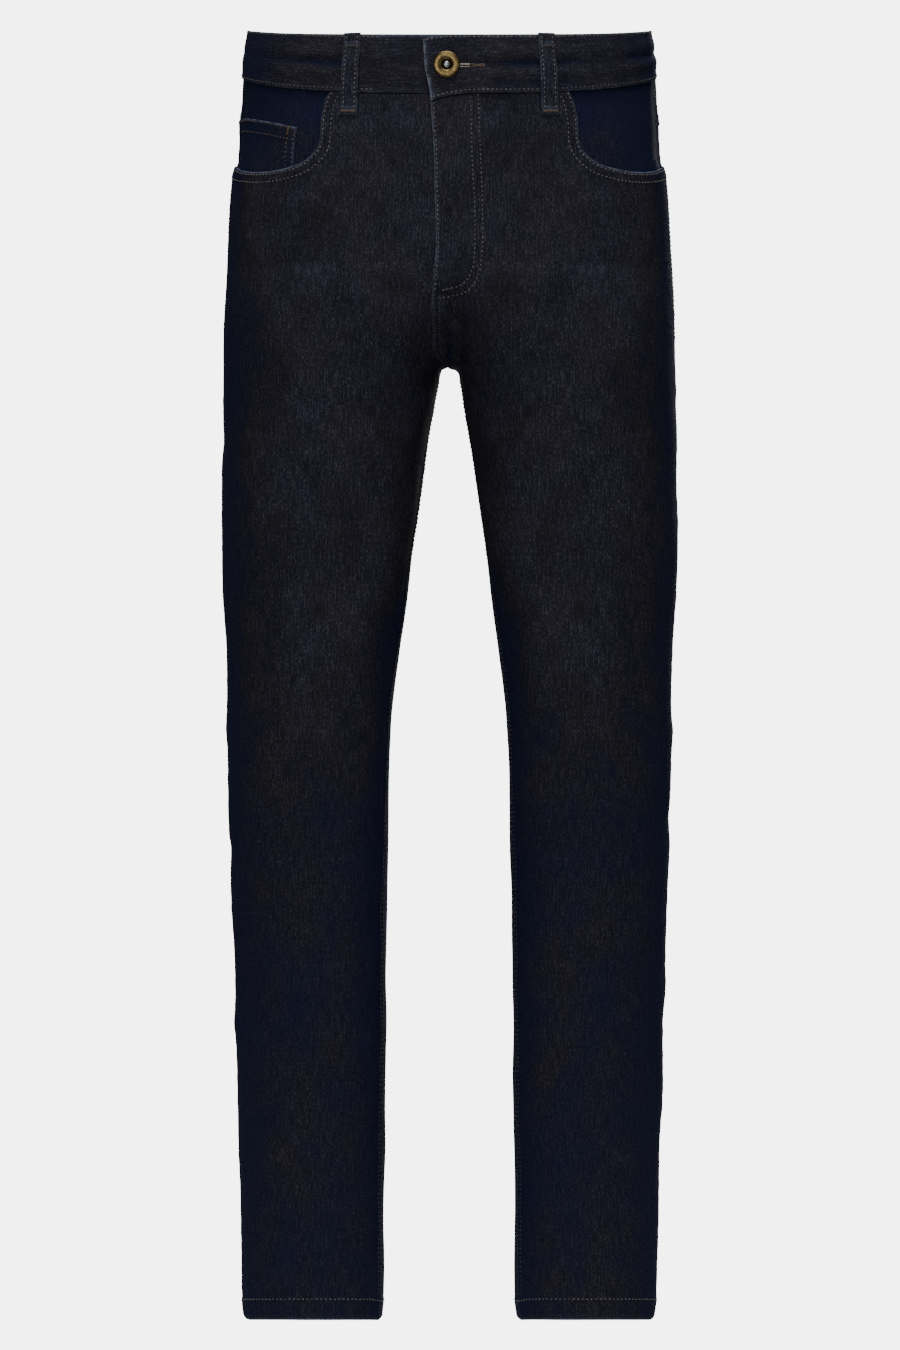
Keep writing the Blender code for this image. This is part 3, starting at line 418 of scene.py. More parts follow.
def nearest(points, line, reach=0.05):
    """Each point's distance to a line's points, up to a reach, and which is nearest."""
    flat = points.reshape(-1, 3)
    distance = np.full(len(flat), float(reach))
    index = np.zeros(len(flat), int)
    close = np.nonzero(((flat > line.min(0) - reach) & (flat < line.max(0) + reach)).all(1))[0]
    for start in range(0, len(close), 4000):
        some = close[start : start + 4000]
        gaps = ((flat[some][:, None, :] - line[None]) ** 2).sum(-1)
        index[some] = gaps.argmin(1)
        distance[some] = np.minimum(np.sqrt(gaps.min(1)), reach)
    return distance.reshape(points.shape[:-1]), index.reshape(points.shape[:-1])


def ripple(points, size, seed, waves=7):
    """A smooth uneven field of about unit height, with bumps of about this size."""
    rng = np.random.default_rng(seed)
    directions = unit(rng.normal(size=(waves, 3)))
    rates = math.tau / (2 * np.asarray(size)) * rng.uniform(0.6, 1.4, waves)[:, None]
    phases = rng.uniform(0, math.tau, waves)
    return np.sin(points @ (directions * rates).T + phases).sum(-1) / math.sqrt(waves)


# Folds, by leg and side. Each runs from a share and height to another share and height, with a bow, a width and a
# depth: shares and bows in hundredths, the rest in millimetres. A positive depth stands out.
FOLDS = [
    # Front, wearer's right leg.
    (-1, False, [
        (97, 800, 62, 845, 2, 10, 1.5), (95, 775, 50, 800, -3, 11, -1.4), (98, 735, 66, 770, 3, 10, 1.2),
        (30, 905, 58, 860, 2, 16, -0.9), (20, 700, 34, 560, 3, 20, 1.1), (86, 640, 70, 480, 3, 18, -1.3),
        (12, 470, 42, 405, 2, 12, -1.4), (92, 440, 55, 385, -2, 11, 1.3), (16, 385, 46, 350, 3, 10, 1.2),
        (94, 350, 62, 300, 2, 12, -1.3), (10, 300, 40, 235, -3, 13, -1.5), (90, 245, 60, 205, 2, 10, 1.1),
        (18, 190, 52, 150, 2, 11, 1.2), (88, 125, 52, 90, -2, 9, -1.3), (92, 85, 66, 60, 2, 8, 1.1),
        (14, 100, 38, 70, 2, 9, -1.1),
    ]),
    # Front, wearer's left leg.
    (1, False, [
        (99, 815, 70, 870, -3, 9, 1.9), (98, 795, 60, 835, 2, 10, -1.8), (96, 765, 56, 790, 3, 11, 1.3),
        (97, 725, 70, 745, 2, 9, -1.1), (28, 890, 52, 840, -2, 15, -1.0), (22, 660, 36, 500, 3, 20, 1.2),
        (88, 600, 74, 450, 2, 17, -1.2), (90, 455, 58, 400, 3, 12, 1.5), (10, 430, 44, 395, -2, 11, -1.3),
        (93, 385, 60, 340, 2, 11, -1.4), (14, 340, 40, 290, 3, 12, 1.3), (90, 290, 64, 250, -2, 10, 1.0),
        (12, 220, 46, 190, 2, 11, -1.3), (92, 180, 56, 130, 3, 10, 1.3), (20, 130, 50, 105, 2, 9, 1.0),
        (90, 90, 60, 55, 2, 9, -1.2),
    ]),
    # Back, wearer's right leg.
    (-1, True, [
        (97, 790, 50, 765, 3, 12, -2.6), (95, 760, 42, 725, 4, 13, 2.4), (93, 715, 40, 690, 2, 12, -2.0),
        (20, 830, 46, 780, 2, 16, 1.4), (90, 560, 30, 520, 4, 13, -2.2), (14, 545, 62, 490, 3, 12, 2.2),
        (92, 510, 38, 465, -3, 12, -2.4), (12, 480, 56, 435, 3, 13, 2.0), (90, 430, 46, 400, 2, 12, -1.8),
        (16, 360, 50, 310, 2, 14, 1.4), (88, 270, 48, 230, 2, 12, -1.4), (18, 190, 58, 150, 3, 11, 1.5),
        (90, 115, 44, 80, -2, 10, -1.5),
    ]),
    # Back, wearer's left leg.
    (1, True, [
        (98, 795, 56, 780, 2, 12, -2.4), (96, 750, 46, 735, -2, 13, 2.6), (94, 720, 36, 680, 3, 13, -2.2),
        (16, 845, 44, 800, 2, 15, 1.2), (88, 580, 40, 545, 2, 13, 1.9), (12, 560, 66, 510, 4, 12, -2.4),
        (92, 500, 30, 480, 3, 13, 2.2), (14, 465, 60, 425, -3, 11, -2.1), (88, 410, 42, 370, 3, 13, 1.7),
        (20, 330, 54, 290, 2, 13, -1.5), (90, 240, 50, 215, 2, 11, 1.4), (16, 165, 50, 120, 3, 12, -1.4),
        (88, 95, 50, 65, 2, 9, 1.3),
    ]),
    # Across the side seams.
    (-1, False, [
        (-30, 740, 22, 700, 0, 14, -1.3), (-26, 520, 20, 455, 0, 12, 1.5), (-28, 405, 18, 370, 0, 12, -1.5),
        (-24, 260, 24, 225, 0, 12, 1.2),
    ]),
    (1, False, [
        (-24, 760, 20, 730, 0, 14, -1.2), (-30, 500, 16, 470, 0, 11, 1.4), (-22, 440, 24, 380, 0, 13, -1.6),
        (-28, 300, 18, 250, 0, 12, 1.2),
    ]),
]

Panel = namedtuple("Panel", "name sign back")
PANELS = [
    Panel("front_left", 1, False), Panel("front_right", -1, False), Panel("back_left", 1, True),
    Panel("back_right", -1, True)
]
FRONT_LEFT, FRONT_RIGHT, BACK_LEFT, BACK_RIGHT = PANELS
MIRROR = np.array([-1.0, 1.0, 1.0])


def fold_lines():
    """Each fold's points and how deep it is at each of them."""
    lines = []
    t = np.linspace(0, 1, 60)
    for sign, back, folds in FOLDS:
        for *places, bow, width, depth in folds:
            share, height, to_share, to_height = (at / part for at, part in zip(places, (100, 1000, 100, 1000)))
            shares = share + (to_share - share) * t + bow / 100 * np.sin(math.pi * t)
            points = form_points(shares, level_at(np.abs(shares), height + (to_height - height) * t, back), back)
            depths = depth * MM * np.sin(math.pi * t) ** 0.8
            lines.append((points * (1 if sign > 0 else MIRROR), depths, width / 1000))
    return lines


FOLD_LINES = fold_lines()

# The cloth sinks below the end of the fly, beside the centre seam and down to the crotch.
HOLLOW = [(0.005, 0.835), (0.007, 0.81), (0.008, 0.785)]
HOLLOW_WIDTH = 9 * MM
HOLLOW_DEPTH = 5 * MM
HOLLOW_PATH = smooth_path(HOLLOW, 40)
HOLLOW_LINE = form_points(*place_at(HOLLOW_PATH[:, 0], HOLLOW_PATH[:, 1]))
HOLLOW_DEPTHS = -HOLLOW_DEPTH * fade(0, 0.5, np.linspace(0, 1, len(HOLLOW_PATH)))


def fold_relief(points):
    """How far the folds and the cloth's own unevenness move the surface."""
    total = np.zeros(points.shape[:-1])
    scale = bpy.context.scene.jeans_cloth.fold_depth
    for line, depths, width in (*FOLD_LINES, (HOLLOW_LINE, HOLLOW_DEPTHS, HOLLOW_WIDTH)):
        distance, index = nearest(points, line, 2.6 * width)
        total += depths[index] * bell(distance, width)
    heights = points[..., 2] + WAIST_HEIGHT
    calm = 1 - 0.6 * fade(0.80, 0.95, heights)
    total += ripple(points, 0.045, 11) * 0.45 * MM * calm
    total += ripple(points, (0.018, 0.018, 0.024), 12) * 0.16 * MM * calm
    return total * scale


def seam_relief(panel, shares, levels, points):
    """How far the seams' layers and puckers move the surface."""
    from_side = arc_of(shares, levels, panel.back)
    edge = inseam_share(levels, panel.back)
    from_inner = arc_of(edge, levels, panel.back) - from_side
    leg = levels < CROTCH
    pucker = ripple(points, (0.03, 0.03, 0.0042), 21) + 0.5 * ripple(points, (0.03, 0.03, 0.0024), 22)
    total = 0.13 * MM * pucker * (falling(np.abs(from_side), 0.007) + falling(np.abs(from_inner), 0.009))
    lapped = 1 - fade(0.0088, 0.0108, from_inner)
    if panel.back:
        seat = np.where(leg, 0.0, 0.45 * MM if panel.sign > 0 else 0.1 * MM)
        total += lapped * seat + 0.25 * MM * (1 - fade(0.008, 0.014, from_side))
    else:
        total += np.where(leg, 0.5 * MM * lapped, 0.0)
    roping = ripple(points, (0.0050, 0.0050, 0.012), 23)
    hem = 1 - fade(HEM_HEIGHT - 0.8 * MM, HEM_HEIGHT + 0.8 * MM, heights_at(shares, levels, panel.back))
    total += hem * (0.45 * MM + 0.14 * MM * roping)
    return total


def heights_at(shares, levels, back):
    """Heights of places before the hems are tilted."""
    within = np.where(shares < 0, -shares, np.where(shares > 1, 2 - shares, shares))
    return ring_heights(within, levels, back)


def lapped_over(points):
    """The left front's points, which hang lower towards the edge of its lap."""
    heights = points[..., 2] + WAIST_HEIGHT
    width = smooth_curve(LAPS, "width", heights)
    power = LAP_POWERS[0] + (LAP_POWERS[1] - LAP_POWERS[0]) * fade(*EASE_HEIGHTS, heights)
    share = np.clip((LAP_START - points[..., 0]) / (LAP_START + width), 0, 1.05) ** power
    droop = LAP_DROOP * fade(*DROOP_HEIGHTS, heights) - DROOP_EASE * fade(*EASE_HEIGHTS, heights)
    lower = heights - droop * share
    moved = points.copy()
    moved[..., 2] = lower - WAIST_HEIGHT
    moved[..., 1] += smooth_curve(OUTLINES, "front", lower) - smooth_curve(OUTLINES, "front", heights)
    return moved


def fly_raise(points):
    """How far out the left front stands by the centre."""
    heights = points[..., 2] + WAIST_HEIGHT
    legs = fade(0.758, CROTCH_HEIGHT, heights)
    return LAP_RAISE * (1 - fade(*LAP_FADE, points[..., 0])) * np.where(points[..., 0] < 0, 1, legs)


def cloth_face(panel, shares, levels):
    """(points, outward directions, relief) of a panel's outer face, the points without the relief."""
    shares, levels = paired(shares, levels)
    points = form_points(shares, levels, panel.back)
    normals = form_normals(shares, levels, panel.back)
    lift = np.zeros(shares.shape)
    if panel == FRONT_LEFT:
        points = lapped_over(points)
        lift = np.where(levels >= CROTCH - 0.4, fly_raise(points), 0.0)
    if panel.sign < 0:
        points, normals = points * MIRROR, normals * MIRROR
    return points, normals, lift + fold_relief(points) + seam_relief(panel, shares, levels, points)


# Meshes.

EDGE_STEPS = np.array([0.0, 0.25, 0.7, 1.4, 2.6]) * MM
EDGE_RADIUS = 0.9 * MM
ROW_STEP = 3.0 * MM
SEAM_SINK = 1.35 * MM
SEAM_EASE = (-1.2 * MM, 0.8 * MM)
SIDE_TUCKS = np.array([0.6, 1.6, 3.0]) * MM
TOP_TUCKS = np.array([0.7, 1.9, 3.8]) * MM


def mesh_piece(name, points, faces, *surfaces):
    """A smooth piece of points and faces, in the scene, with its materials."""
    mesh = bpy.data.meshes.new(name)
    mesh.from_pydata(points, [], faces)
    mesh.polygons.foreach_set("use_smooth", np.ones(len(mesh.polygons), bool))
    for surface in surfaces:
        mesh.materials.append(material_of(surface))
    piece = bpy.data.objects.new(name, mesh)
    bpy.context.scene.collection.objects.link(piece)
    return piece


def per_point(piece, label, values):
    """Gives each point of a piece its value under a name."""
    each = np.asarray(values, np.float32)
    piece.data.attributes.new(label, "FLOAT", "POINT").data.foreach_set("value", each)


def shell_mesh(name, outer, inner, keep=None, turned_in=False, weave=None, **values):
    """A thin closed shell between two grids of points, where its cells are kept."""
    rows, columns = outer.shape[:2]
    size = rows * columns
    index = np.arange(size).reshape(rows, columns)
    keep = np.ones((rows - 1, columns - 1), bool) if keep is None else keep
    corners = (index[:-1, :-1], index[:-1, 1:], index[1:, 1:], index[1:, :-1])
    face = np.stack([corner[keep] for corner in corners], axis=1)
    if turned_in:
        face = face[:, ::-1]
    edges = np.concatenate([face[:, [k, (k + 1) % 4]] for k in range(4)])
    alone = ~np.isin(edges[:, 0] * size + edges[:, 1], edges[:, 1] * size + edges[:, 0])
    rim = edges[alone]
    rims = np.stack([rim[:, 1], rim[:, 0], rim[:, 0] + size, rim[:, 1] + size], axis=1)
    faces = np.concatenate([face, face[:, ::-1] + size, rims])
    used, new = np.unique(faces, return_inverse=True)
    faces = new.reshape(faces.shape)
    points = np.concatenate([outer.reshape(-1, 3), inner.reshape(-1, 3)])[used]
    piece = mesh_piece(name, points.tolist(), faces.tolist())
    mesh = piece.data
    inside = np.zeros(len(faces), np.int32)
    inside[len(face) : 2 * len(face)] = 1
    mesh.polygons.foreach_set("material_index", inside)
    loops = np.empty(len(mesh.loops), np.int32)
    mesh.loops.foreach_get("vertex_index", loops)
    flat = np.concatenate([weave.reshape(-1, 2)] * 2)[used]
    mesh.uv_layers.new(name="weave").data.foreach_set("uv", flat[loops].astype(np.float32).ravel())
    for label, value in values.items():
        full = np.broadcast_to(value, (rows, columns)).ravel()
        per_point(piece, label, np.concatenate([full, full])[used])
    return piece


def rounded(distance, radius=EDGE_RADIUS, least=0.12):
    """How full the cloth is at a distance from its edge, from least to 1."""
    near = 1 - np.clip(distance / radius, 0, 1)
    return least + (1 - least) * np.sqrt(1 - near**2)


def shell_faces(points, normals, relief, thickness, from_edge):
    """The outer and inner faces of cloth, with its edges rounded off."""
    thin = (1 - rounded(from_edge)) * thickness / 2
    outer = points + normals * (relief - thin)[..., None]
    return outer, points + normals * (relief - thickness + thin)[..., None]


def cloth_piece(name, node, faces, points, normals, weave, sheet, rub=0.0, wash=1.0, reverse=True, **shell):
    """A piece of denim: the node it stands for, and how its cloth is cut and held, given as its sheet, which is not
    used.
    """
    rub = np.clip(rub, 0, 1) * (0.72 + 0.28 * ripple(points, 0.004, 41))
    # Each point's amount carries its wear and painted light and shade: lighter where the cloth faces the front or the
    # back, darker down the legs and in the hollow below the fly.
    piece = shell_mesh(name, *faces, weave=weave, wash=wash * washed(points, normals), rub=rub, **shell)
    piece.data.materials.append(material_of("indigo_denim"))
    piece.data.materials.append(material_of("denim_reverse" if reverse else "indigo_denim"))
    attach(piece, "root")
    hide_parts(node)


def tucked(past):
    """How far cloth sinks under its neighbour, by how far past their seam it is."""
    return SEAM_SINK * fade(*SEAM_EASE, past)


def columns_between(start, stop, levels, count, back):
    """Shares of columns between two edges at each level, finer beside the edges."""
    near = [share_beside(start, levels, step, back) for step in EDGE_STEPS]
    far = [share_beside(stop, levels, -step, back) for step in EDGE_STEPS[::-1]]
    parts = np.linspace(0, 1, count + 2)[1:-1]
    inner = [near[-1] + (far[0] - near[-1]) * part for part in parts]
    return np.stack([*near, *inner, *far], axis=1)


def columns_under(shares, levels, edge, side, back):
    """The same columns with three more past their last edge (side 1) or their first (side -1)."""
    more = np.stack([share_beside(edge, levels, side * step, back) for step in SIDE_TUCKS], axis=1)
    return np.concatenate([shares, more] if side > 0 else [more[:, ::-1], shares], axis=1)


def row_levels(heights, back):
    """Levels of rows that pass a panel's middle at these heights."""
    return level_at(np.full(len(heights), 0.5), np.array(sorted(heights)), back)


def rows_under(levels, seam, back=False):
    """The same rows, the last one on a seam, and three more tucked under above it."""
    levels[-1] = seam
    above = seam_height(seam, back) + TOP_TUCKS
    return np.concatenate([levels, row_levels(above, back)])


def above_seam(shares, levels, seam, back=False):
    """How far places lie above a seam that runs along a level."""
    return heights_at(shares, levels, back) - heights_at(shares, np.full_like(levels, seam), back)


def mesh_heights(low, high, step, *others):
    """Heights of rows between two edges, finer beside the edges."""
    even = np.linspace(low + EDGE_STEPS[-1], high - EDGE_STEPS[-1], int((high - low) / step))
    kept = [h for h in even if all(abs(h - other) > step / 3 for other in others)]
    return [*(low + EDGE_STEPS[:-1]), *kept, *(high - EDGE_STEPS[:-1]), *others]


def grain_table(back):
    """Lengths from the side seam to the grain line down a panel's middle, by level."""
    heights = ring_heights(0.5, ARC_LEVELS, back)
    shares, _ = place_at(0.112 - 0.022 * heights, heights, back)
    return arc_of(shares, ARC_LEVELS, back)


GRAIN = {back: grain_table(back) for back in (False, True)}


def weave_of(shares, levels, back=False):
    """Places on the flat cloth, in metres across from the grain line and up."""
    across = arc_of(shares, levels, back) - np.interp(levels, ARC_LEVELS, GRAIN[back])
    return np.stack([across, heights_at(shares, levels, back)], axis=-1)


def washed(points, normals):
    """How worn the indigo is, with painted light and shade in it: most in front and behind, as wear and as painted
    light where the cloth faces the front or the back; most high on the thighs and least down the legs, as painted
    shade; least in the hollow below the fly, as painted shade.
    """
    heights = points[..., 2] + WAIST_HEIGHT
    # Painted light, partly wear: the cloth is lighter where it faces the front or the back, and on the inner thighs
    # that turn to the front.
    inward = np.clip(-normals[..., 0] * np.sign(points[..., 0]), 0, 1)
    thigh = fade(0.55, 0.70, heights)
    facing = 0.10 + 0.90 * fade(0.22, 0.97, np.abs(normals[..., 1]) + 0.9 * inward * thigh)
    # Painted shade: darker down the legs, lightest high on the thighs.
    down = 0.44 + 0.46 * fade(0.36, 0.62, heights) + 0.10 * fade(0.68, 0.92, heights)
    patches = 1 + 0.16 * ripple(points, 0.075, 31) + 0.10 * ripple(points, 0.03, 32)
    # Painted shade: darker in the hollow below the fly.
    hollow = bell(nearest(points, HOLLOW_LINE, 0.02)[0], HOLLOW_WIDTH)
    return np.clip(facing * down * patches * (1 - 0.45 * hollow), 0, 1)


# The panels.

HEM_ROWS = (HEM_HEIGHT - MM, HEM_HEIGHT, HEM_HEIGHT + MM)
PANEL_SHEET = {
    False: ((0.30, 1.03), 0.222, "hung", ["waistband_cloth"]),
    True: ((0.31, 0.97), 0.252, "hung", ["waistband_cloth"])
}
YOKE_SHEET = ((0.235, 0.07), 0.0126, "hung", ["waistband_cloth"])
LAP_STEPS = (0.18, 0.36, 0.54, 0.7, 0.83, 0.92, 0.975, 1.0)


def mouth_places():
    """Shares and levels along a front pocket's mouth, and which is at its corner."""
    spots = smooth_path(MOUTH, 400)
    shares, levels = place_at(spots[:, 0], spots[:, 1])
    shares[-1] = 0.0
    return shares, levels, int(np.abs(spots[:, 0] - MOUTH_CORNER).argmin())


def folded_hem(faces, normals, true_heights, from_edge):
    """The faces of a panel with its hem turned up inside."""
    thickness = bpy.context.scene.jeans_cloth.thickness
    hem = 1 - fade(HEM_HEIGHT - 0.3 * MM, HEM_HEIGHT + 0.3 * MM, true_heights)
    extra = hem * (HEM_FOLD - thickness) * rounded(from_edge, 2 * MM)
    return faces[0], faces[1] - normals * extra[..., None]


def lap_share(levels):
    """Shares of the left front's edge past the centre."""
    heights = ring_heights(np.ones_like(levels), levels)
    return 2 - place_at(smooth_curve(LAPS, "width", heights), heights)[0]


# How many levels below the mouth's corner the rows begin to bend, how far its edge is folded in, and where it is
# rubbed by hands.
MOUTH_BEND = 2.2
MOUTH_FOLD = (0.0085, 0.0115)
HANDLED_ACROSS = (0.102, 0.122)


def make_front(panel):
    """A front, with the cut of its pocket mouth and, on the left, the lap over the fly."""
    back = panel.back
    thickness = bpy.context.scene.jeans_cloth.thickness
    mouth_shares, mouth_levels, corner = mouth_places()
    corner_share, corner_level = mouth_shares[corner], mouth_levels[corner]
    marks = (corner_level, CROTCH, WAIST_SEAM)
    corner_height, crotch_height, top = (seam_height(level, back) for level in marks)
    fine = [corner_height - step for step in EDGE_STEPS]
    levels = row_levels(mesh_heights(0, top, ROW_STEP, *HEM_ROWS, crotch_height, *fine), back)
    crotch_row = int(np.abs(levels - CROTCH).argmin())
    corner_row = int(np.abs(levels - corner_level).argmin())
    levels[crotch_row], levels[corner_row], levels[0] = CROTCH, corner_level, 0
    levels = rows_under(levels, WAIST_SEAM, back)
    rows = np.arange(len(levels))

    # The upright part of the mouth is the left edge of the rows above its corner.
    upright = np.interp(levels, mouth_levels[corner::-1], mouth_shares[corner::-1])
    middle = np.where(rows <= corner_row, corner_share, upright)
    inner = inseam_share(levels, back)
    outer_columns = columns_between(np.zeros_like(levels), middle, levels, 22, back)
    inner_columns = columns_between(middle, inner, levels, 52, back)
    shares = np.concatenate([outer_columns, inner_columns[:, 1:]], axis=1)
    corner_column, last = outer_columns.shape[1] - 1, shares.shape[1] - 1
    keep = np.ones((len(levels) - 1, last), bool)
    keep[corner_row:, :corner_column] = False
    if panel == FRONT_LEFT:
        beyond = np.stack([inner + (lap_share(levels) - inner) * step for step in LAP_STEPS], axis=1)
        beyond[:crotch_row] = inner[:crotch_row, None]
        shares = np.concatenate([shares, beyond], axis=1)
        flap = np.repeat(rows[:-1, None] >= crotch_row, len(LAP_STEPS), axis=1)
        keep = np.concatenate([keep, flap], axis=1)

    # Below the corner, the rows bend to meet the level part of the mouth at the top of their outer columns.
    grid = np.repeat(levels[:, None], shares.shape[1], axis=1)
    order = np.argsort(mouth_shares[corner:])
    ends = np.interp(shares, mouth_shares[corner:][order], mouth_levels[corner:][order])
    base = corner_level - MOUTH_BEND
    part = np.clip((grid - base) / (corner_level - base), 0, 1)
    outside = (np.arange(shares.shape[1])[None] < corner_column) & (grid > base)
    bends = outside & (rows <= corner_row)[:, None]
    grid = np.where(bends, base + part * (ends - base), grid)

    points, normals, relief = cloth_face(panel, shares, grid)
    arcs = arc_of(shares, grid, back)
    from_side = np.where(rows[:, None] <= corner_row, arcs - arcs[:, :1], 1.0)
    from_inner = arcs[:, -1:] - arcs
    from_inner[:crotch_row] = arcs[:crotch_row, last : last + 1] - arcs[:crotch_row]
    mouth = form_points(mouth_shares, mouth_levels, back) * (MIRROR if panel.sign < 0 else 1)
    from_mouth, _ = nearest(points, evenly(mouth, 900), 0.03)
    true_heights = heights_at(shares, grid, back)
    from_edge = np.minimum.reduce([from_side, from_inner, from_mouth, true_heights])
    relief = relief + 0.35 * MM * (1 - fade(*MOUTH_FOLD, from_mouth))
    relief += 0.16 * MM * ripple(points, (0.0040, 0.0040, 0.0040), 24) * falling(from_mouth, 0.006)
    relief -= tucked(above_seam(shares, grid, WAIST_SEAM, back))
    faces = shell_faces(points, normals, relief, thickness, from_edge)
    leg = grid < CROTCH
    # Painted shade: the rubbed line along the fly's edge fades out below the fly.
    fly_edge = (0.1 + 0.7 * fade(0.800, 0.865, true_heights)) * (panel == FRONT_LEFT)
    # The hands rub the level part of the mouth most.
    handled = 0.55 + 0.55 * fade(*HANDLED_ACROSS, np.abs(points[..., 0]))
    rubs = (
        handled * falling(from_mouth, 0.0006), 0.6 * falling(true_heights, 0.0008),
        falling(np.abs(from_inner), 0.0007) * np.where(leg, 0.35, fly_edge), 0.3 * falling(from_side, 0.001)
    )
    cloth_piece(
        panel.name + "_panel", panel.name, folded_hem(faces, normals, true_heights, from_edge), points, normals,
        weave_of(shares, grid, back), PANEL_SHEET[back], np.maximum.reduce(rubs), keep=keep, turned_in=panel.sign < 0
    )


def back_grid(panel, levels, count):
    """Shares and kept cells of a piece behind, tucked under its neighbours."""
    inner = inseam_share(levels, True)
    shares = columns_between(np.zeros_like(levels), inner, levels, count, True)
    shares = columns_under(shares, levels, np.zeros_like(levels), -1, True)
    shares = columns_under(shares, levels, inner, 1, True)
    keep = np.ones((len(levels) - 1, shares.shape[1] - 1), bool)
    over = levels[:-1] >= CROTCH if panel.sign > 0 else np.zeros(len(levels) - 1, bool)
    under_crotch = (levels[:-1] < CROTCH) & (levels[1:] >= CROTCH)
    keep[over | under_crotch, -len(SIDE_TUCKS) :] = False
    return shares, keep


def back_piece(panel, name, node, levels, sheet, low_seam, top_seam):
    """A back or a yoke between two levels."""
    thickness = bpy.context.scene.jeans_cloth.thickness
    shares, keep = back_grid(panel, levels, 74)
    grid = np.repeat(levels[:, None], shares.shape[1], axis=1)
    points, normals, relief = cloth_face(panel, shares, grid)
    from_side = arc_of(shares, grid, True)
    from_inner = arc_of(inseam_share(grid, True), grid, True) - from_side
    from_low = above_seam(shares, grid, low_seam, True)
    on_top = (grid >= CROTCH) & (panel.sign > 0)
    from_edge = np.minimum(from_low, np.where(on_top, from_inner, 1.0))
    relief = relief - tucked(-from_side) - tucked(above_seam(shares, grid, top_seam, True))
    relief -= np.where(on_top, 0.0, tucked(-from_inner))
    if low_seam:
        relief += 0.45 * MM * (1 - fade(0.0088, 0.0108, from_low))
    faces = shell_faces(points, normals, relief, thickness, np.maximum(from_edge, 0))
    if not low_seam:
        faces = folded_hem(faces, normals, from_low, from_edge)
    sewn = np.minimum(np.abs(from_side), np.abs(from_inner))
    cloth_piece(
        name, node, faces, points, normals, weave_of(shares, grid, True), sheet,
        np.maximum(0.6 * falling(from_low, 0.0008), 0.3 * falling(sewn, 0.001)), keep=keep, turned_in=panel.sign > 0
    )


def make_back(panel):
    """A back, from its hem to the yoke."""
    top, crotch_height = (seam_height(level, True) for level in (YOKE_SEAM, CROTCH))
    levels = row_levels(mesh_heights(0, top, ROW_STEP, *HEM_ROWS, crotch_height), True)
    levels[0], levels[int(np.abs(levels - CROTCH).argmin())] = 0, CROTCH
    levels = rows_under(levels, YOKE_SEAM, True)
    back_piece(panel, panel.name + "_panel", panel.name, levels, PANEL_SHEET[True], 0, YOKE_SEAM)


def make_yoke(panel):
    """A yoke, between a back and the waistband."""
    low, high = (seam_height(level, True) for level in (YOKE_SEAM, WAIST_SEAM))
    levels = row_levels(mesh_heights(low, high, ROW_STEP), True)
    levels[0] = YOKE_SEAM
    levels = rows_under(levels, WAIST_SEAM, True)
    node = panel.name.replace("back", "yoke")
    back_piece(panel, node + "_panel", node, levels, YOKE_SHEET, YOKE_SEAM, WAIST_SEAM)


# Front pockets: the facing behind each mouth, and the coin pocket on the wearer's right one.

POCKET_REACH = 0.016
POCKET_FOOT = (0.937, 0.948)
FACING_LOW = 12.3
WORN_ACROSS = (0.118, 0.150)
WORN_DOWN = (-0.078, -0.056)
COIN_LOW = 12.6
COIN_RAISE = 0.3 * MM + FACING_CLOTH


def pocket_relief(shares, levels, points):
    """How far in a facing lies: deeper where the mouth hangs open, and level at the side seam."""
    heights = points[..., 2] + WAIST_HEIGHT
    depth = FACING_DEPTH + FACING_SINK * (1 - fade(*SINK_HEIGHTS, heights))
    seam = 1 - fade(0, POCKET_REACH, arc_of(shares, levels))
    sag = 0.5 * MM * ripple(points, (0.020, 0.020, 0.030), 51) - 0.3 * MM
    sag *= fade(0.925, 0.95, heights) * (1 - fade(0.985, 1.0, heights)) * (1 - seam)
    return sag - depth * (1 - fade(*POCKET_FOOT, heights) * seam)


def make_facing(panel):
    """The facing of a front pocket."""
    levels = rows_under(np.linspace(FACING_LOW, WAIST_SEAM, 52), WAIST_SEAM)
    edge = np.interp(levels, [FACING_LOW, 13.6, WAIST_SEAM], [0.0960, 0.0860, 0.0835])
    ends, _ = place_at(edge, ring_heights(0.6, levels))
    near = share_beside(np.zeros_like(levels), levels, EDGE_STEPS[-1])
    steps = [share_beside(np.zeros_like(levels), levels, step) for step in EDGE_STEPS[:-1]]
    inner = [near + (ends - near) * t for t in np.linspace(0, 1, 42)]
    shares = np.stack([*steps, *inner], axis=1)
    grid = np.repeat(levels[:, None], shares.shape[1], axis=1)
    points, normals, _ = cloth_face(panel, shares, grid)
    relief = pocket_relief(shares, grid, points)
    relief -= 0.5 * tucked(above_seam(shares, grid, WAIST_SEAM))
    from_side = arc_of(shares, grid)
    node = panel.name.replace("front", "pocket_facing")
    cloth_piece(
        node + "_cloth", node, shell_faces(points, normals, relief, FACING_CLOTH, np.maximum(from_side, 0)), points,
        normals, weave_of(shares, grid), ((0.135, 0.125), 0.0155, "hung", ["front_left_panel", "front_right_panel"]),
        wash=0.2 + 0.35 * (1 - fade(*WORN_ACROSS, np.abs(points[..., 0]))) * (1 - fade(*WORN_DOWN, points[..., 2])),
        turned_in=panel.sign < 0
    )


def coin_places():
    """Shares and levels of the coin pocket's grid, from its hidden bottom up."""
    top = smooth_path(COIN_TOP, 60)
    side = smooth_path(COIN_SIDE[::-1], 60)
    top_shares, top_levels = place_at(top[:, 0], top[:, 1])
    side_shares, side_levels = place_at(side[:, 0], side[:, 1])
    t = np.unique(np.concatenate([np.linspace(0, 1, 34), 1 - EDGE_STEPS / 0.055]))
    rise = np.unique(np.concatenate([np.linspace(0, 1, 36), 1 - EDGE_STEPS / 0.050]))
    base = COIN_LOW + (side_levels[-1] - COIN_LOW) * rise
    shares = np.interp(base, side_levels, side_shares)[:, None] * t
    ceiling = np.interp(shares, top_shares, top_levels)
    return shares, COIN_LOW + (ceiling - COIN_LOW) * rise[:, None]


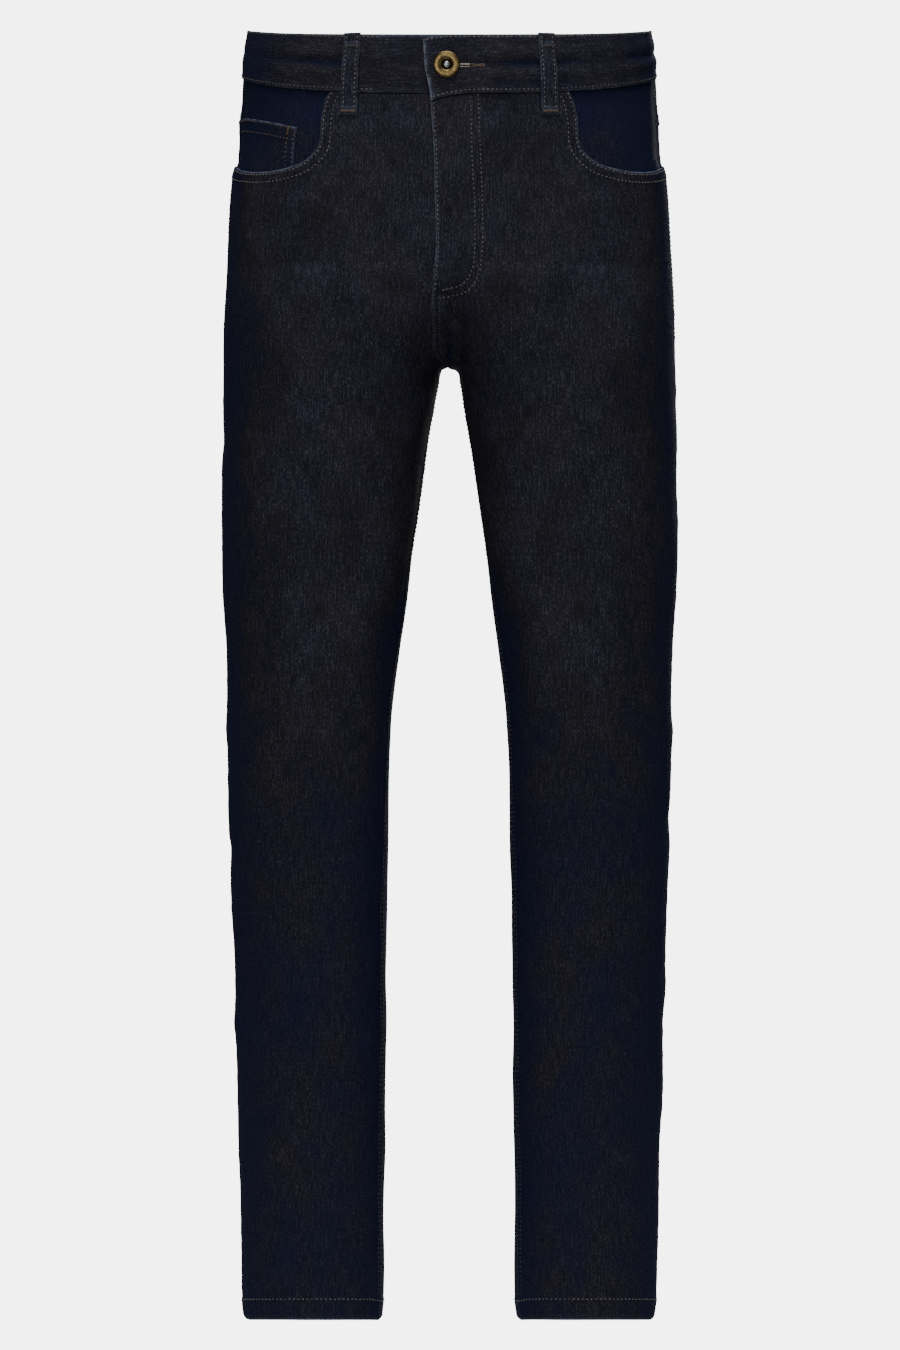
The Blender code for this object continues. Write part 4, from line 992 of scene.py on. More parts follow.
def coin_face():
    """(points, outward directions, relief, distances from the side and the top) of the coin pocket."""
    shares, levels = coin_places()
    points, normals, _ = cloth_face(FRONT_RIGHT, shares, levels)
    across, up = run_of(points, 1), run_of(points, 0)
    from_side, from_top = across[:, -1:] - across, up[-1:] - up
    caught = 1 - fade(0, 0.004, arc_of(shares, levels))
    relief = pocket_relief(shares, levels, points) + COIN_RAISE * (1 - caught)
    relief += 0.7 * MM * bell(from_top, 0.004) * fade(0.006, 0.020, from_side) * (1 - caught)
    relief += 0.35 * MM * (1 - fade(0.0105, 0.0125, from_top))
    return points, normals, relief, from_side, from_top


def make_coin_pocket():
    """The coin pocket, sewn on the wearer's right facing."""
    points, normals, relief, from_side, from_top = coin_face()
    cloth_piece(
        "coin_pocket_cloth", "coin_pocket",
        shell_faces(points, normals, relief, FACING_CLOTH, np.minimum(from_side, from_top)), points, normals,
        weave_of(*coin_places()), ((0.125, 0.066), 0.0078, "hung", ["pocket_facing_right_cloth"]),
        0.8 * falling(from_top, 0.0007) + 0.35 * falling(from_side, 0.0007), wash=0.4, turned_in=True
    )


# Back pockets.

POCKET_TOP_TURN = 0.0125
POCKET_SIZE = (0.112, 0.130)
POCKET_CLOTH = 1.2 * MM
TIP = 0.46
TIP_ROUNDING = 0.06


def pocket_spot(u, v):
    """(across, height) on a back pocket, u across from its inner edge and v down from its top."""
    (x0, h0), (x1, h1) = BACK_POCKET_TOP
    low, tip, high = BACK_POCKET_LOW
    blend = np.clip((u - (TIP - TIP_ROUNDING)) / (2 * TIP_ROUNDING), 0, 1)
    first = low.height + (tip.height - low.height) * u / TIP
    second = tip.height + (high.height - tip.height) * (u - TIP) / (1 - TIP)
    bottom = np.where(u < TIP, first, second) + 1.6 * MM * np.sin(math.pi * blend) ** 2
    left, right = x0 + (low.across - x0) * v, x1 + (high.across - x1) * v
    top = h0 + (h1 - h0) * u
    return left + (right - left) * u, top + (bottom - top) * v


def pocket_face(panel, u, v):
    """(points, outward directions, relief, shares, levels) on a back pocket."""
    shares, levels = place_at(*pocket_spot(u, v), True)
    points, normals, relief = cloth_face(panel, shares, levels)
    bulge = 0.9 * MM * np.sin(math.pi * np.clip(u, 0, 1)) * np.sin(math.pi * np.clip(0.15 + 0.85 * v, 0, 1))
    return points, normals, relief + POCKET_LIFT + bulge + POCKET_CLOTH, shares, levels


def make_back_pocket(panel):
    """A back pocket, folded in at its edges."""
    even = (np.linspace(0, 1, 52), np.linspace(0, 1, 56))
    near = [EDGE_STEPS / size for size in POCKET_SIZE]
    u, v = (np.unique(np.concatenate([some, edge, 1 - edge])) for some, edge in zip(even, near))
    points, normals, relief, shares, levels = pocket_face(panel, *np.meshgrid(u, v))
    from_left, from_top = run_of(points, 1), run_of(points, 0)
    from_right, from_low = from_left[:, -1:] - from_left, from_top[-1:] - from_top
    sewn = np.minimum.reduce([from_left, from_right, from_low])
    from_edge = np.minimum(sewn, from_top)
    relief += 0.25 * MM * (1 - fade(0.0085, 0.0105, sewn))
    relief += 0.35 * MM * (1 - fade(POCKET_TOP_TURN, POCKET_TOP_TURN + 0.002, from_top))
    node = panel.name.replace("back", "back_pocket")
    cloth_piece(
        node + "_cloth", node, shell_faces(points, normals, relief, POCKET_CLOTH, from_edge), points, normals,
        weave_of(shares, levels, True), ((0.115, 0.155), 0.0142, "stretched", [panel.name + "_panel"]),
        0.6 * falling(from_edge, 0.0008), turned_in=panel.sign < 0
    )


# The waistband: one strip from its under end, round the wearer's right and the back, to its over end.

BandColumn = namedtuple("BandColumn", "share sign back over under")


def sided(across):
    """What points are multiplied with, to lie on the side that across has the sign of."""
    return np.where(across < 0, -1.0, 1.0)[..., None] * np.array([1, 0, 0]) + np.array([0, 1, 1])


BAND_TALL = 0.0453
LAP_WIDTH = 0.021
BAND_EDGE = 1.15 * MM
# The band's two layers have crept on each other: a trough and soft ridges run along it, as (rise, width, size).
BAND_CREASES = ((0.56, 0.06, -1.5), (0.40, 0.06, 0.8), (0.74, 0.10, 0.9), (0.20, 0.07, -0.5))
# It is pinched beside the front loops.
PINCH = Spot(0.0655, 1.0220)
PINCH_SIZE = (0.0035, 0.009)


def band_columns():
    """The waistband's columns. On the end that laps over, a share is 1 and a part of the way to the lap's edge."""
    under_share = float(place_at(UNDER_END, 1.0)[0])
    fine = 1 - EDGE_STEPS[::-1] / LAP_WIDTH
    runs = [
        (np.linspace(under_share, 1, 10)[:-1], 1, False, 0, 1), (np.linspace(1, 0, 90), -1, False, 0, 1),
        (np.linspace(0, 1, 100)[1:], -1, True, 0, 0), (np.linspace(1, 0, 100)[1:], 1, True, 0, 0),
        (np.linspace(0, 1, 90)[1:], 1, False, 1, 0),
        (1 + np.concatenate([np.linspace(0, fine[0], 9)[1:-1], fine]), 1, False, 1, 0)
    ]
    shares = np.concatenate([run[0] for run in runs])
    return BandColumn(shares, *(np.concatenate([np.full(len(run[0]), run[k]) for run in runs]) for k in range(1, 5)))


def band_face(columns, rises):
    """(points, outward directions, relief) of the waistband, rises by columns."""
    rises = np.asarray(rises, float)[:, None]
    levels = WAIST_SEAM + rises * np.ones(len(columns.share))[None]
    lap = lap_share(levels[:, 0])[:, None]
    past = np.maximum(columns.share - 1, 0)[None]
    shares = np.where(past > 0, 1 + (lap - 1) * past, columns.share[None])
    at_back = np.broadcast_to(columns.back.astype(bool), levels.shape)[..., None]
    points = np.where(at_back, form_points(shares, levels, True), form_points(shares, levels))
    normals = np.where(at_back, form_normals(shares, levels, True), form_normals(shares, levels))
    points = np.where((columns.over > 0)[None, :, None], lapped_over(points), points)
    flip = sided(columns.sign)[None]
    points, normals = points * flip, normals * flip
    across, heights = points[..., 0], points[..., 2] + WAIST_HEIGHT
    over = OVER_RAISE * (1 - fade(*OVER_FADE, across)) * columns.over
    under = UNDER_SINK * fade(*UNDER_FADE, across) * columns.under
    along = sum(size * bell(rises - middle, width) for middle, width, size in BAND_CREASES)
    relief = along * (0.75 + 0.45 * ripple(points, (0.045, 0.045, 0.2), 61)) * MM
    relief += ripple(points, (0.010, 0.010, 0.02), 62) * 0.13 * MM
    near_edges = falling(rises, 0.12) + falling(1 - rises, 0.12)
    relief += 0.10 * MM * ripple(points, (0.0032, 0.0032, 0.05), 63) * near_edges
    wide, tall = PINCH_SIZE
    pinch = np.exp(-(((np.abs(across) - PINCH.across) / wide) ** 2) - ((heights - PINCH.height) / tall) ** 2)
    relief -= 1.0 * MM * pinch * (points[..., 1] < 0)
    return points, normals, relief + over - under


def hole_rise():
    """The share of the waistband's height at the buttonhole."""
    return float(level_at(1.0, HOLE_HEIGHT)) - WAIST_SEAM


def make_waistband():
    """The waistband with its open buttonhole."""
    columns = band_columns()
    hole, half = hole_rise(), HOLE_HALF_HEIGHT / BAND_TALL
    low = np.append(EDGE_STEPS, 4.4 * MM) / BAND_TALL
    slit = [hole - half, hole + half]
    even = [v for v in np.linspace(low[-1], 1 - low[-1], 20)[1:-1] if abs(v - hole) > 0.035]
    rises = np.array(sorted([*low, *even, *slit, *(1 - low)]))
    points, normals, relief = band_face(columns, rises)
    heights, along = run_of(points, 0), run_of(points, 1)
    from_top = heights[-1:] - heights
    from_end = np.minimum(along, along[:, -1:] - along)
    from_edge = np.minimum.reduce([heights, from_top, from_end])
    thin = (1 - rounded(from_edge, BAND_EDGE, 0.5)) * (BAND_OUT + BAND_IN) / 2
    lifted = relief * np.where(columns.over > 0, 1.0, 0.5)
    outer = points + normals * (relief + BAND_OUT - thin)[..., None]
    inner = points + normals * (lifted - BAND_IN + thin)[..., None]
    keep = np.ones((len(rises) - 1, points.shape[1] - 1), bool)
    slit_row = int(np.abs(rises - slit[0]).argmin())
    across = (points[slit_row, :-1, 0] + points[slit_row, 1:, 0]) / 2
    opened = (columns.over[:-1] > 0) & (across > BUTTON.across) & (across < HOLE_END)
    keep[slit_row, opened & (points[slit_row, :-1, 1] < 0)] = False
    rubs = (1.3 * falling(from_end, 0.0011), 0.5 * falling(from_top, 0.0009), 0.15 * falling(heights, 0.001))
    # Painted light and shade along the creases: the cloth is painted lighter on the band's ridges and darker in its
    # troughs.
    ridges = (relief - np.median(relief, axis=0)) / MM
    cloth_piece(
        "waistband_cloth", "waistband", (outer, inner), points, normals, np.stack([heights, along], axis=-1),
        ((0.95, 0.05), 0.042, "hung", ["front_left_panel"]), np.maximum.reduce(rubs),
        wash=np.clip(0.80 + 0.32 * ridges, 0.15, 1.25), reverse=False, keep=keep, turned_in=True
    )


def band_line(columns, rises):
    """A row on the waistband: along it at one rise, or up it at one column."""
    return lifted_row(*band_face(columns, rises), BAND_OUT)


# Belt loops.

LOOP_STEPS = table(
    "run lift cloth", (0.0, 0.15 * MM, 2.3 * MM), (0.05, 0.2 * MM, 2.3 * MM), (0.085, 0.4 * MM, 1.9 * MM),
    (0.15, 1.2 * MM, 1.6 * MM), (0.3, 1.9 * MM, 1.6 * MM), (0.55, 2.5 * MM, 1.6 * MM), (0.74, 1.6 * MM, 1.6 * MM),
    (0.83, 0.35 * MM, 1.9 * MM), (0.87, 0.3 * MM, 2.3 * MM), (0.96, 0.45 * MM, 2.5 * MM), (1.0, 0.35 * MM, 2.3 * MM)
)
LOOP_BELOW = 0.0186
LOOP_ABOVE = {False: 1.2 * MM, True: -1.0 * MM}
LOOP_TACKS = (0.062, 0.845)
LOOP_COUNT = 64
LOOP_SIDES = np.array([-1, -0.965, -0.89, -0.78, -0.6, -0.36, -0.12, 0.12, 0.36, 0.6, 0.78, 0.89, 0.965, 1])


def loop_line(loop):
    """Points and outward directions up a belt loop's middle, on the cloth below it, and how far it is raised."""
    seam = float(ring_heights(place_at(loop.across, 1.0, loop.back)[0], WAIST_SEAM, loop.back))
    top = float(ring_heights(place_at(loop.across, 1.04, loop.back)[0], BAND_TOP, loop.back))
    heights = np.linspace(seam - LOOP_BELOW, top + LOOP_ABOVE[loop.back], LOOP_COUNT)
    lean = LOOP_SLANT if loop.across else 0.0
    across = loop.across + lean * (0.5 - (heights - seam) / LOOP_LEAN_HEIGHT)
    shares, levels = place_at(np.maximum(across, 0), np.minimum(heights, top), loop.back)
    points = form_points(shares, levels, loop.back)
    points[:, 2] = heights - WAIST_HEIGHT
    normals = form_normals(shares, levels, loop.back) * np.array([1, 1, 0.25])
    normals = unit((normals.mean(axis=0) + normals) / 2)
    on_band = fade(seam - 0.006, seam + 0.004, heights)
    raised = (BAND_OUT + 0.35 * MM) * on_band
    if not loop.back and loop.sign > 0:
        raised = raised + OVER_RAISE * (1 - fade(*OVER_FADE, across)) * on_band
    sign = np.array([loop.sign, 1, 1])
    return points * sign, normals * sign, raised + fold_relief(points * sign) * (1 - on_band)


def loop_face(loop, side, lift=0.0):
    """A row up the outer face of a belt loop, sideways from -1 to 1."""
    points, normals, raised = loop_line(loop)
    run = np.linspace(0, 1, LOOP_COUNT)
    lifts = smooth_curve(LOOP_STEPS, "lift", run) + smooth_curve(LOOP_STEPS, "cloth", run)
    level = unit(np.cross(np.array([0.0, 0.0, 1.0]), normals[LOOP_COUNT // 2]))
    place = points + normals * (raised + lifts + lift)[:, None]
    return Row(place + level * (side * LOOP_WIDTH / 2), normals)


def make_belt_loop(loop):
    """A belt loop: a felled strip, folded under and tacked at both ends."""
    run = np.linspace(0, 1, LOOP_COUNT)
    cloths = smooth_curve(LOOP_STEPS, "cloth", run)[:, None]
    lines = [loop_face(loop, side) for side in LOOP_SIDES]
    grid, outs = (np.stack([line[k] for line in lines], axis=1) for k in range(2))
    from_side = (1 - np.abs(LOOP_SIDES))[None] * LOOP_WIDTH / 2
    length = run_of(grid, 0)
    from_edge = np.minimum.reduce([from_side + 0 * length, length, length[-1:] - length])
    thin = (1 - rounded(from_edge)) * cloths / 2
    # The strip's raw edges meet in its middle, and its tacks press it flat.
    crown = 0.18 * MM * np.cos(math.pi * LOOP_SIDES / 2)[None]
    crown = crown - 0.22 * MM * bell(from_side - 0.0016, 0.0008)
    rub = 0.3 * falling(from_edge, 0.0007)
    for tack in LOOP_TACKS:
        crown = crown - 0.35 * MM * bell(run - tack, 0.022)[:, None]
        rub = np.maximum(rub, 0.22 * bell(run[:, None] - tack - 0.03, 0.02))
    faces = grid + outs * (crown - thin)[..., None], grid - outs * (cloths - thin)[..., None]
    width = np.broadcast_to(LOOP_SIDES[None] * LOOP_WIDTH / 2, length.shape)
    cloth_piece(
        loop.name + "_cloth", loop.name, faces, grid, outs, np.stack([width, length], axis=-1),
        ((0.014, 0.07), 0.00095, "hung", ["waistband_cloth"]), rub, reverse=False,
        turned_in=loop.back == (loop.sign > 0)
    )


# The fly's shield, which shows inside the waist.

SHIELD_LAYER = (-1.7 * MM, -2.9 * MM)


def make_fly_shield():
    """The shield behind the zip."""
    x, up = np.meshgrid(np.linspace(-0.024, 0.029, 26), np.linspace(0, 1, 70))
    low = 0.836 + 0.026 * fade(0.010, 0.029, x)
    high = float(ring_heights(1.0, WAIST_SEAM)) - 1.0 * MM
    heights = low + (high - low) * up
    places = place_at(np.abs(x), heights)
    points, normals = form_points(*places) * sided(x), form_normals(*places) * sided(x)
    relief = fold_relief(points)
    cloth_piece(
        "fly_shield_cloth",
        "fly_shield",
        [points + normals * (relief + depth)[..., None] for depth in SHIELD_LAYER],
        points,
        normals,
        np.stack([x, heights], axis=-1),
        ((0.055, 0.16), 0.0083, "hung", ["front_right_panel"]),
        wash=0.4,
        reverse=False,
    )


# Stitching. A row is a line of points on the cloth; each stitch dips into the cloth at both ends.

Row = namedtuple("Row", "points normals")
Threads = namedtuple("Threads", "starts ends outs")
ROW_GAPS = (2.0 * MM, 8.0 * MM)
MOUTH_ROWS = (2.2 * MM, 8.3 * MM)
LOOP_ROWS = (-0.64, 0.64)
# Rows down from the fly, as (distance in millimetres, high, low).
FLY_EDGE_ROWS = ((2.1, 0.9885, 0.8325), (1.9, 0.8310, 0.7800), (6.2, 0.8310, 0.7800))
HEM_ROW = (15.5 * MM, 1.5 * MM)


def lifted_row(points, normals, relief, lift=0.0):
    """A row at a lift above a face."""
    return Row((points + normals * (relief + lift)[..., None]).reshape(-1, 3), normals.reshape(-1, 3))


def row_on(panel, shares, levels, lift=0.0):
    """A row along places on a panel, with a lift above its outer face."""
    return lifted_row(*cloth_face(panel, shares, levels), lift)


def row_at(panel, spots, lift=0.0, count=160):
    """A row along a smooth line of (across, height) spots."""
    line = smooth_path(spots, count)
    return row_on(panel, *place_at(line[:, 0], line[:, 1], panel.back), lift)


def cut(row, first, last):
    """A part of a row or of some columns."""
    return type(row)(*(part[first:last] for part in row))


def stretches(row, chosen):
    """The parts of a row whose points are chosen."""
    bounds = np.flatnonzero(np.diff(np.concatenate([[0], chosen, [0]])))
    return [cut(row, a, b) for a, b in bounds.reshape(-1, 2) if b - a > 1]


def along_row(row, at):
    """Points and outward directions at some lengths along a row."""
    run = run_of(row.points)
    return [np.stack([np.interp(at, run, part[:, k]) for k in range(3)], axis=-1) for part in row]


def stitches_of(rows, seed):
    """The stitches along some rows."""
    sizes = bpy.context.scene.jeans_stitching
    rng = np.random.default_rng(seed)
    gap = sizes.pitch * sizes.gap
    parts = []
    for row in rows:
        length = run_of(row.points)[-1]
        count = max(int(round(length / sizes.pitch)), 1)
        at = np.linspace(0, length, count + 1)
        first = at[:-1] + gap + rng.uniform(-0.12, 0.12, count) * MM
        last = at[1:] - gap + rng.uniform(-0.12, 0.12, count) * MM
        middle = along_row(row, (first + last) / 2)[1]
        parts.append((along_row(row, first)[0], along_row(row, last)[0], unit(middle)))
    starts, ends, outs = (np.concatenate(part) for part in zip(*parts))
    side = unit(np.cross(ends - starts, outs))
    wander = rng.normal(0, 0.07, (2, len(starts), 1)) * MM
    return Threads(starts + side * wander[0], ends + side * wander[1], outs)


THREAD_SIDES = 5
THREAD_STATIONS = [(0.0, -0.6, 0.55), (0.2, 0.45, 1.0), (0.8, 0.45, 1.0), (1.0, -0.6, 0.55)]


def thread_piece(name, threads, thickness, surface):
    """Many short threads as one piece, each arched out of the cloth."""
    starts, ends, outs = (np.asarray(part) for part in threads)
    radius, sides, count = thickness / 2, THREAD_SIDES, len(starts)
    side = unit(np.cross(ends - starts, outs))
    rings = []
    for part, lift, size in THREAD_STATIONS:
        middle = starts + (ends - starts) * part + outs * (lift * radius)
        for turn in np.arange(sides) * math.tau / sides:
            rings.append(middle + (side * math.cos(turn) + outs * math.sin(turn) * 0.85) * radius * size)
    points = np.stack(rings, axis=1).reshape(-1, 3)
    per = len(rings)
    faces = [
        (low + k, low + (k + 1) % sides, low + sides + (k + 1) % sides, low + sides + k)
        for low in range(0, per - sides, sides)
        for k in range(sides)
    ]
    first = (np.arange(count) * per)[:, None, None]
    caps = np.array([list(range(sides))[::-1], list(range(per - sides, per))])
    quads = (np.array(faces)[None] + first).reshape(-1, 4)
    closed = (caps[None] + first).reshape(-1, sides)
    piece = mesh_piece(name, points.tolist(), [*quads.tolist(), *closed.tolist()], surface)
    per_point(piece, "tone", np.repeat(np.random.default_rng(5).uniform(0, 1, count), per))
    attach(piece, "root")


def sew(name, rows, seed, surface="tonal_thread"):
    """Rows of topstitching as one piece."""
    thread_piece(name, stitches_of(rows, seed), bpy.context.scene.jeans_stitching.thickness, surface)


Tack = namedtuple("Tack", "place along out length width")
TACK_LENGTH = 6.5 * MM
TACK_WIDTH = 1.7 * MM
TACK_THREAD = 0.42 * MM
TACK_STEP = 0.36 * MM


def tack_at(row, at, length, across=False):
    """A bartack at a share of a row's run, along the row or across it."""
    i = min(max(int(at * (len(row.points) - 1)), 1), len(row.points) - 2)
    along = unit(row.points[i + 1] - row.points[i - 1])
    out = row.normals[i]
    return Tack(row.points[i], np.cross(out, along) if across else along, out, length, TACK_WIDTH)


def sew_tacks(name, tacks, seed, surface):
    """Bartacks: close threads across a short bar."""
    rng = np.random.default_rng(seed)
    parts = []
    for tack in tacks:
        side = unit(np.cross(tack.out, tack.along))
        for at in np.linspace(-0.5, 0.5, int(tack.length / TACK_STEP)) * tack.length:
            middle = tack.place + tack.along * at + tack.out * 0.22 * MM
            reach = side * tack.width / 2 * rng.uniform(0.9, 1.1) + tack.along * rng.uniform(0.10, 0.30) * MM
            parts.append((middle - reach, middle + reach, tack.out))
    thread_piece(name, zip(*parts), TACK_THREAD, surface)


def mouth_rows(panel):
    """The two rows beside a front pocket's mouth."""
    line = smooth_path(MOUTH[2:], 260)
    top = float(ring_heights(0.55, WAIST_SEAM)) - 0.5 * MM
    rows = []
    for distance in MOUTH_ROWS:
        moved = beside(line, -distance)
        inside = moved[:, 0] < np.interp(moved[:, 1], [0.90, 0.94, 0.96], [0.1775, 0.1735, 0.1735])
        rows.append(row_at(panel, evenly(moved[inside & (moved[:, 1] < top)], 40), 0.35 * MM))
    return rows


def seam_row(panel, distance, low, high, from_side=False, lift=0.0, count=420):
    """A row beside a panel's inner edge or its side seam."""
    start = np.zeros(count) if from_side else np.ones(count)
    levels = level_at(start, np.linspace(low, high, count), panel.back)
    edge = start if from_side else inseam_share(levels, panel.back)
    return row_on(panel, share_beside(edge, levels, distance if from_side else -distance, panel.back), levels, lift)


def hem_row(panel):
    """The row round a hem, on one panel: lower beside the seams."""
    shares = np.linspace(0.0, float(inseam_share(np.array(0.05), panel.back)), 160)
    inside = fade(0, 0.12, shares) * (1 - fade(shares[-1] - 0.12, shares[-1], shares))
    heights = HEM_ROW[0] + HEM_ROW[1] * inside
    return row_on(panel, shares, level_at(np.clip(shares, 0, 1), heights, panel.back))


def yoke_rows(panel):
    """The two rows on a yoke's felled edge."""
    shares = np.linspace(0.0, 1.0, 160)
    low = ring_heights(shares, YOKE_SEAM, True)
    return [row_on(panel, shares, level_at(shares, low + gap, True), 0.45 * MM) for gap in ROW_GAPS]


def seat_rows():
    """The two rows beside the centre back seam, on the wearer's left."""
    yoke, waist = (float(RINGS[level].back) for level in (YOKE_SEAM, WAIST_SEAM))
    spans = ((CROTCH_HEIGHT + 4 * MM, yoke - MM, 0.0), (yoke + 1.2 * MM, waist - MM, 0.1 * MM))
    return [seam_row(BACK_LEFT, gap, low, high, lift=lift) for gap in ROW_GAPS for low, high, lift in spans]


def pocket_rows(panel):
    """The rows along a back pocket's top, and round its other edges."""
    t = np.linspace(0, 1, 90)
    runs = [(0.01 + 0.98 * t, 0 * t + inset, 0.35 * MM) for inset in (0.016, (POCKET_TOP_TURN - 1.5 * MM) / 0.125)]
    for inset in ROW_GAPS:
        du, dv = inset / 0.105, inset / 0.135
        down, low = t * (1 - dv), 0 * t + 1 - dv
        runs += [(0 * t + du, down, 0.25 * MM), (du + (1 - 2 * du) * t, low, 0.25 * MM)]
        runs.append((0 * t + 1 - du, down[::-1], 0.25 * MM))
    rows = [(pocket_face(panel, u, v)[:3], lift) for u, v, lift in runs]
    return [lifted_row(*face, lift) for face, lift in rows]


FLY_TURN = [
    (0.0166, 0.988), (0.018, 0.9369), (0.0198, 0.9066), (0.0204, 0.8827), (0.0197, 0.8565), (0.0177, 0.8478),
    (0.0149, 0.8422), (0.0105, 0.8376), (0.0049, 0.8353), (0.0002, 0.8345), (-0.007, 0.8329)
]
FLY_OUTER_TURN = [
    (0.0227, 0.9895), (0.0249, 0.937), (0.026, 0.9066), (0.0266, 0.8708), (0.0258, 0.8605), (0.0244, 0.8482),
    (0.02, 0.8383), (0.0155, 0.8333), (0.0116, 0.8309), (0.0049, 0.8291), (-0.0041, 0.8276), (-0.0098, 0.828)
]


def fly_rows():
    """The fly's turned rows, the row along its edge, and the two rows below it."""
    rows = [row_at(FRONT_LEFT, FLY_TURN), row_at(FRONT_LEFT, FLY_OUTER_TURN)]
    for distance, high, low in FLY_EDGE_ROWS:
        heights = np.linspace(high, low, 160)
        edge = distance * MM - smooth_curve(LAPS, "width", heights)
        rows.append(row_at(FRONT_LEFT, np.stack([edge, heights], axis=1)))
    return rows


def row_within(face, normals, distances, target):
    """The row that lies at a distance from a grid's last column."""
    line = []
    for gaps, *parts in zip(distances, face, normals):
        line.append([[np.interp(target, gaps[::-1], part[::-1, k]) for k in range(3)] for part in parts])
    return Row(*np.array(line).transpose(1, 0, 2))


def coin_rows():
    """The rows on the coin pocket: along its top, then down its side."""
    points, normals, relief, from_side, from_top = coin_face()
    face = points + normals * (relief + 0.05 * MM)[..., None]
    turned = [part.swapaxes(0, 1) for part in (face, normals, from_top)]
    tops = [row_within(*turned, gap * MM) for gap in (1.6, 10.4)]
    sides = [row_within(face, normals, from_side, gap * MM) for gap in (1.8, 7.8)]
    return [cut(row, 3, -2) for row in tops] + [cut(row, 6, -2) for row in sides]


BAND_MIDDLE = 0.072


def band_rows():
    """The rows along the waistband's edges and round its over end: those beside and behind, and those in front."""
    columns = band_columns()
    inner = cut(columns, 24, -4)
    end = cut(columns, -3, -2)
    rows = [band_line(inner, [rise]) for rise in (0.085, 0.965)]
    front = [(np.abs(row.points[:, 0]) < BAND_MIDDLE) & (row.points[:, 1] < 0) for row in rows]
    beside_it = [part for row, mask in zip(rows, front) for part in stretches(row, ~mask)]
    middle = [part for row, mask in zip(rows, front) for part in stretches(row, mask)]
    return beside_it, [*middle, band_line(end, np.linspace(0.035, 0.965, 40))]


def loop_rows(loop):
    """The two rows up a belt loop."""
    return [cut(loop_face(loop, side), 1, -2) for side in LOOP_ROWS]


HOLE_STITCHES = (0.0045, 0.42 * MM)
HOLE_REACH = (1.8 * MM, 1.1 * MM)
HOLE_THREAD = 0.5 * MM


def buttonhole_threads():
    """The close stitches round the buttonhole and across its end."""
    columns = band_columns()
    row = band_line(BandColumn(*(part[columns.over > 0] for part in columns)), [hole_rise()])
    order = np.argsort(row.points[:, 0])
    rng = np.random.default_rng(71)
    up, threads = np.array([0.0, 0.0, 1.0]), []

    def spot(x):
        return [np.array([np.interp(x, row.points[order, 0], part[order, k]) for k in range(3)]) for part in row]

    for x in np.arange(HOLE_STITCHES[0], HOLE_END, HOLE_STITCHES[1]):
        place, out = spot(x)
        reach = np.interp(x, [HOLE_STITCHES[0], HOLE_END], HOLE_REACH)
        for side in (-1, 1):
            near = place + up * side * 0.45 * MM + rng.normal(0, 0.06, 3) * MM
            far = place + up * side * (reach + rng.uniform(-0.2, 0.2) * MM) + rng.normal(0, 0.10, 3) * MM
            threads.append((near, far, out))
    # Four long threads lie over the hole's end, crossed.
    reach = np.array([4.2 * MM, 0, 1.1 * MM])
    place, out = spot(HOLE_END - 4.5 * MM)
    for step in (-0.35, 0.35):
        middle = place + np.array([0, -0.5, step]) * MM
        threads += [(middle - reach * (1, 1, side), middle + reach * (1, 1, side), out) for side in (-1, 1)]
    place, out = spot(HOLE_END + 0.5 * MM)
    for step in np.arange(-1.5, 1.6, 0.40) * MM:
        middle, reach = place + up * step, np.array([MM, 0, 0])
        threads.append((middle - reach, middle + reach, out))
    return threads


# The button.


def turned_mesh(name, profile, place, surface, steps=72):
    """A piece turned from (radius, out) points about the front-to-back axis at a place."""
    turns = np.linspace(0, math.tau, steps, endpoint=False)
    points, rings, faces = [], [], []
    for radius, out in profile:
        used = turns[: 1 if radius == 0 else steps]
        rings.append(len(points) + np.arange(len(used)))
        points += [(place[0] + radius * math.cos(t), place[1] - out, place[2] + radius * math.sin(t)) for t in used]
    for low, high in zip(rings, rings[1:]):
        for i in range(steps):
            corners = (low[i % len(low)], low[(i + 1) % len(low)], high[(i + 1) % len(high)], high[i % len(high)])
            faces.append(tuple(dict.fromkeys(int(corner) for corner in corners)))
    return mesh_piece(name, points, [face for face in faces if len(face) > 2], surface)


def smooth_profile(knots, count):
    """A smooth profile through (radius, out) knots given in millimetres."""
    path = smooth_path([(r * MM, out * MM) for r, out in knots], count)
    path[:, 0] = np.maximum(path[:, 0], 0)
    for end in (0, -1):
        path[end, 0] *= knots[end][0] > 0
    return [tuple(point) for point in path]


BUTTON_RING = [
    (0, 5.65), (6.5, 5.65), (9.2, 5.7), (10.25, 6.1), (10.6, 6.8), (10.2, 7.5), (9.2, 7.95), (7.6, 8.1), (5.9, 7.9),
    (4.7, 7.4), (4.1, 6.9), (3.9, 6.2), (3.7, 5.7), (0, 5.75)
]
BUTTON_RECESS = [(3.0, 5.8), (3.78, 6.0), (3.84, 6.3), (3.7, 6.35), (3.0, 5.95), (0, 5.95)]
BUTTON_DOME = [(2.85, 5.9), (2.8, 6.5), (2.45, 7.1), (1.7, 7.6), (0.8, 7.85), (0, 7.9)]
DASH_COUNT = 24
DASH_RADIUS = 7.5 * MM
DASH_OUT = 8.0 * MM
DASH_HALVES = (0.30 * MM, 0.62 * MM, 0.62 * MM)


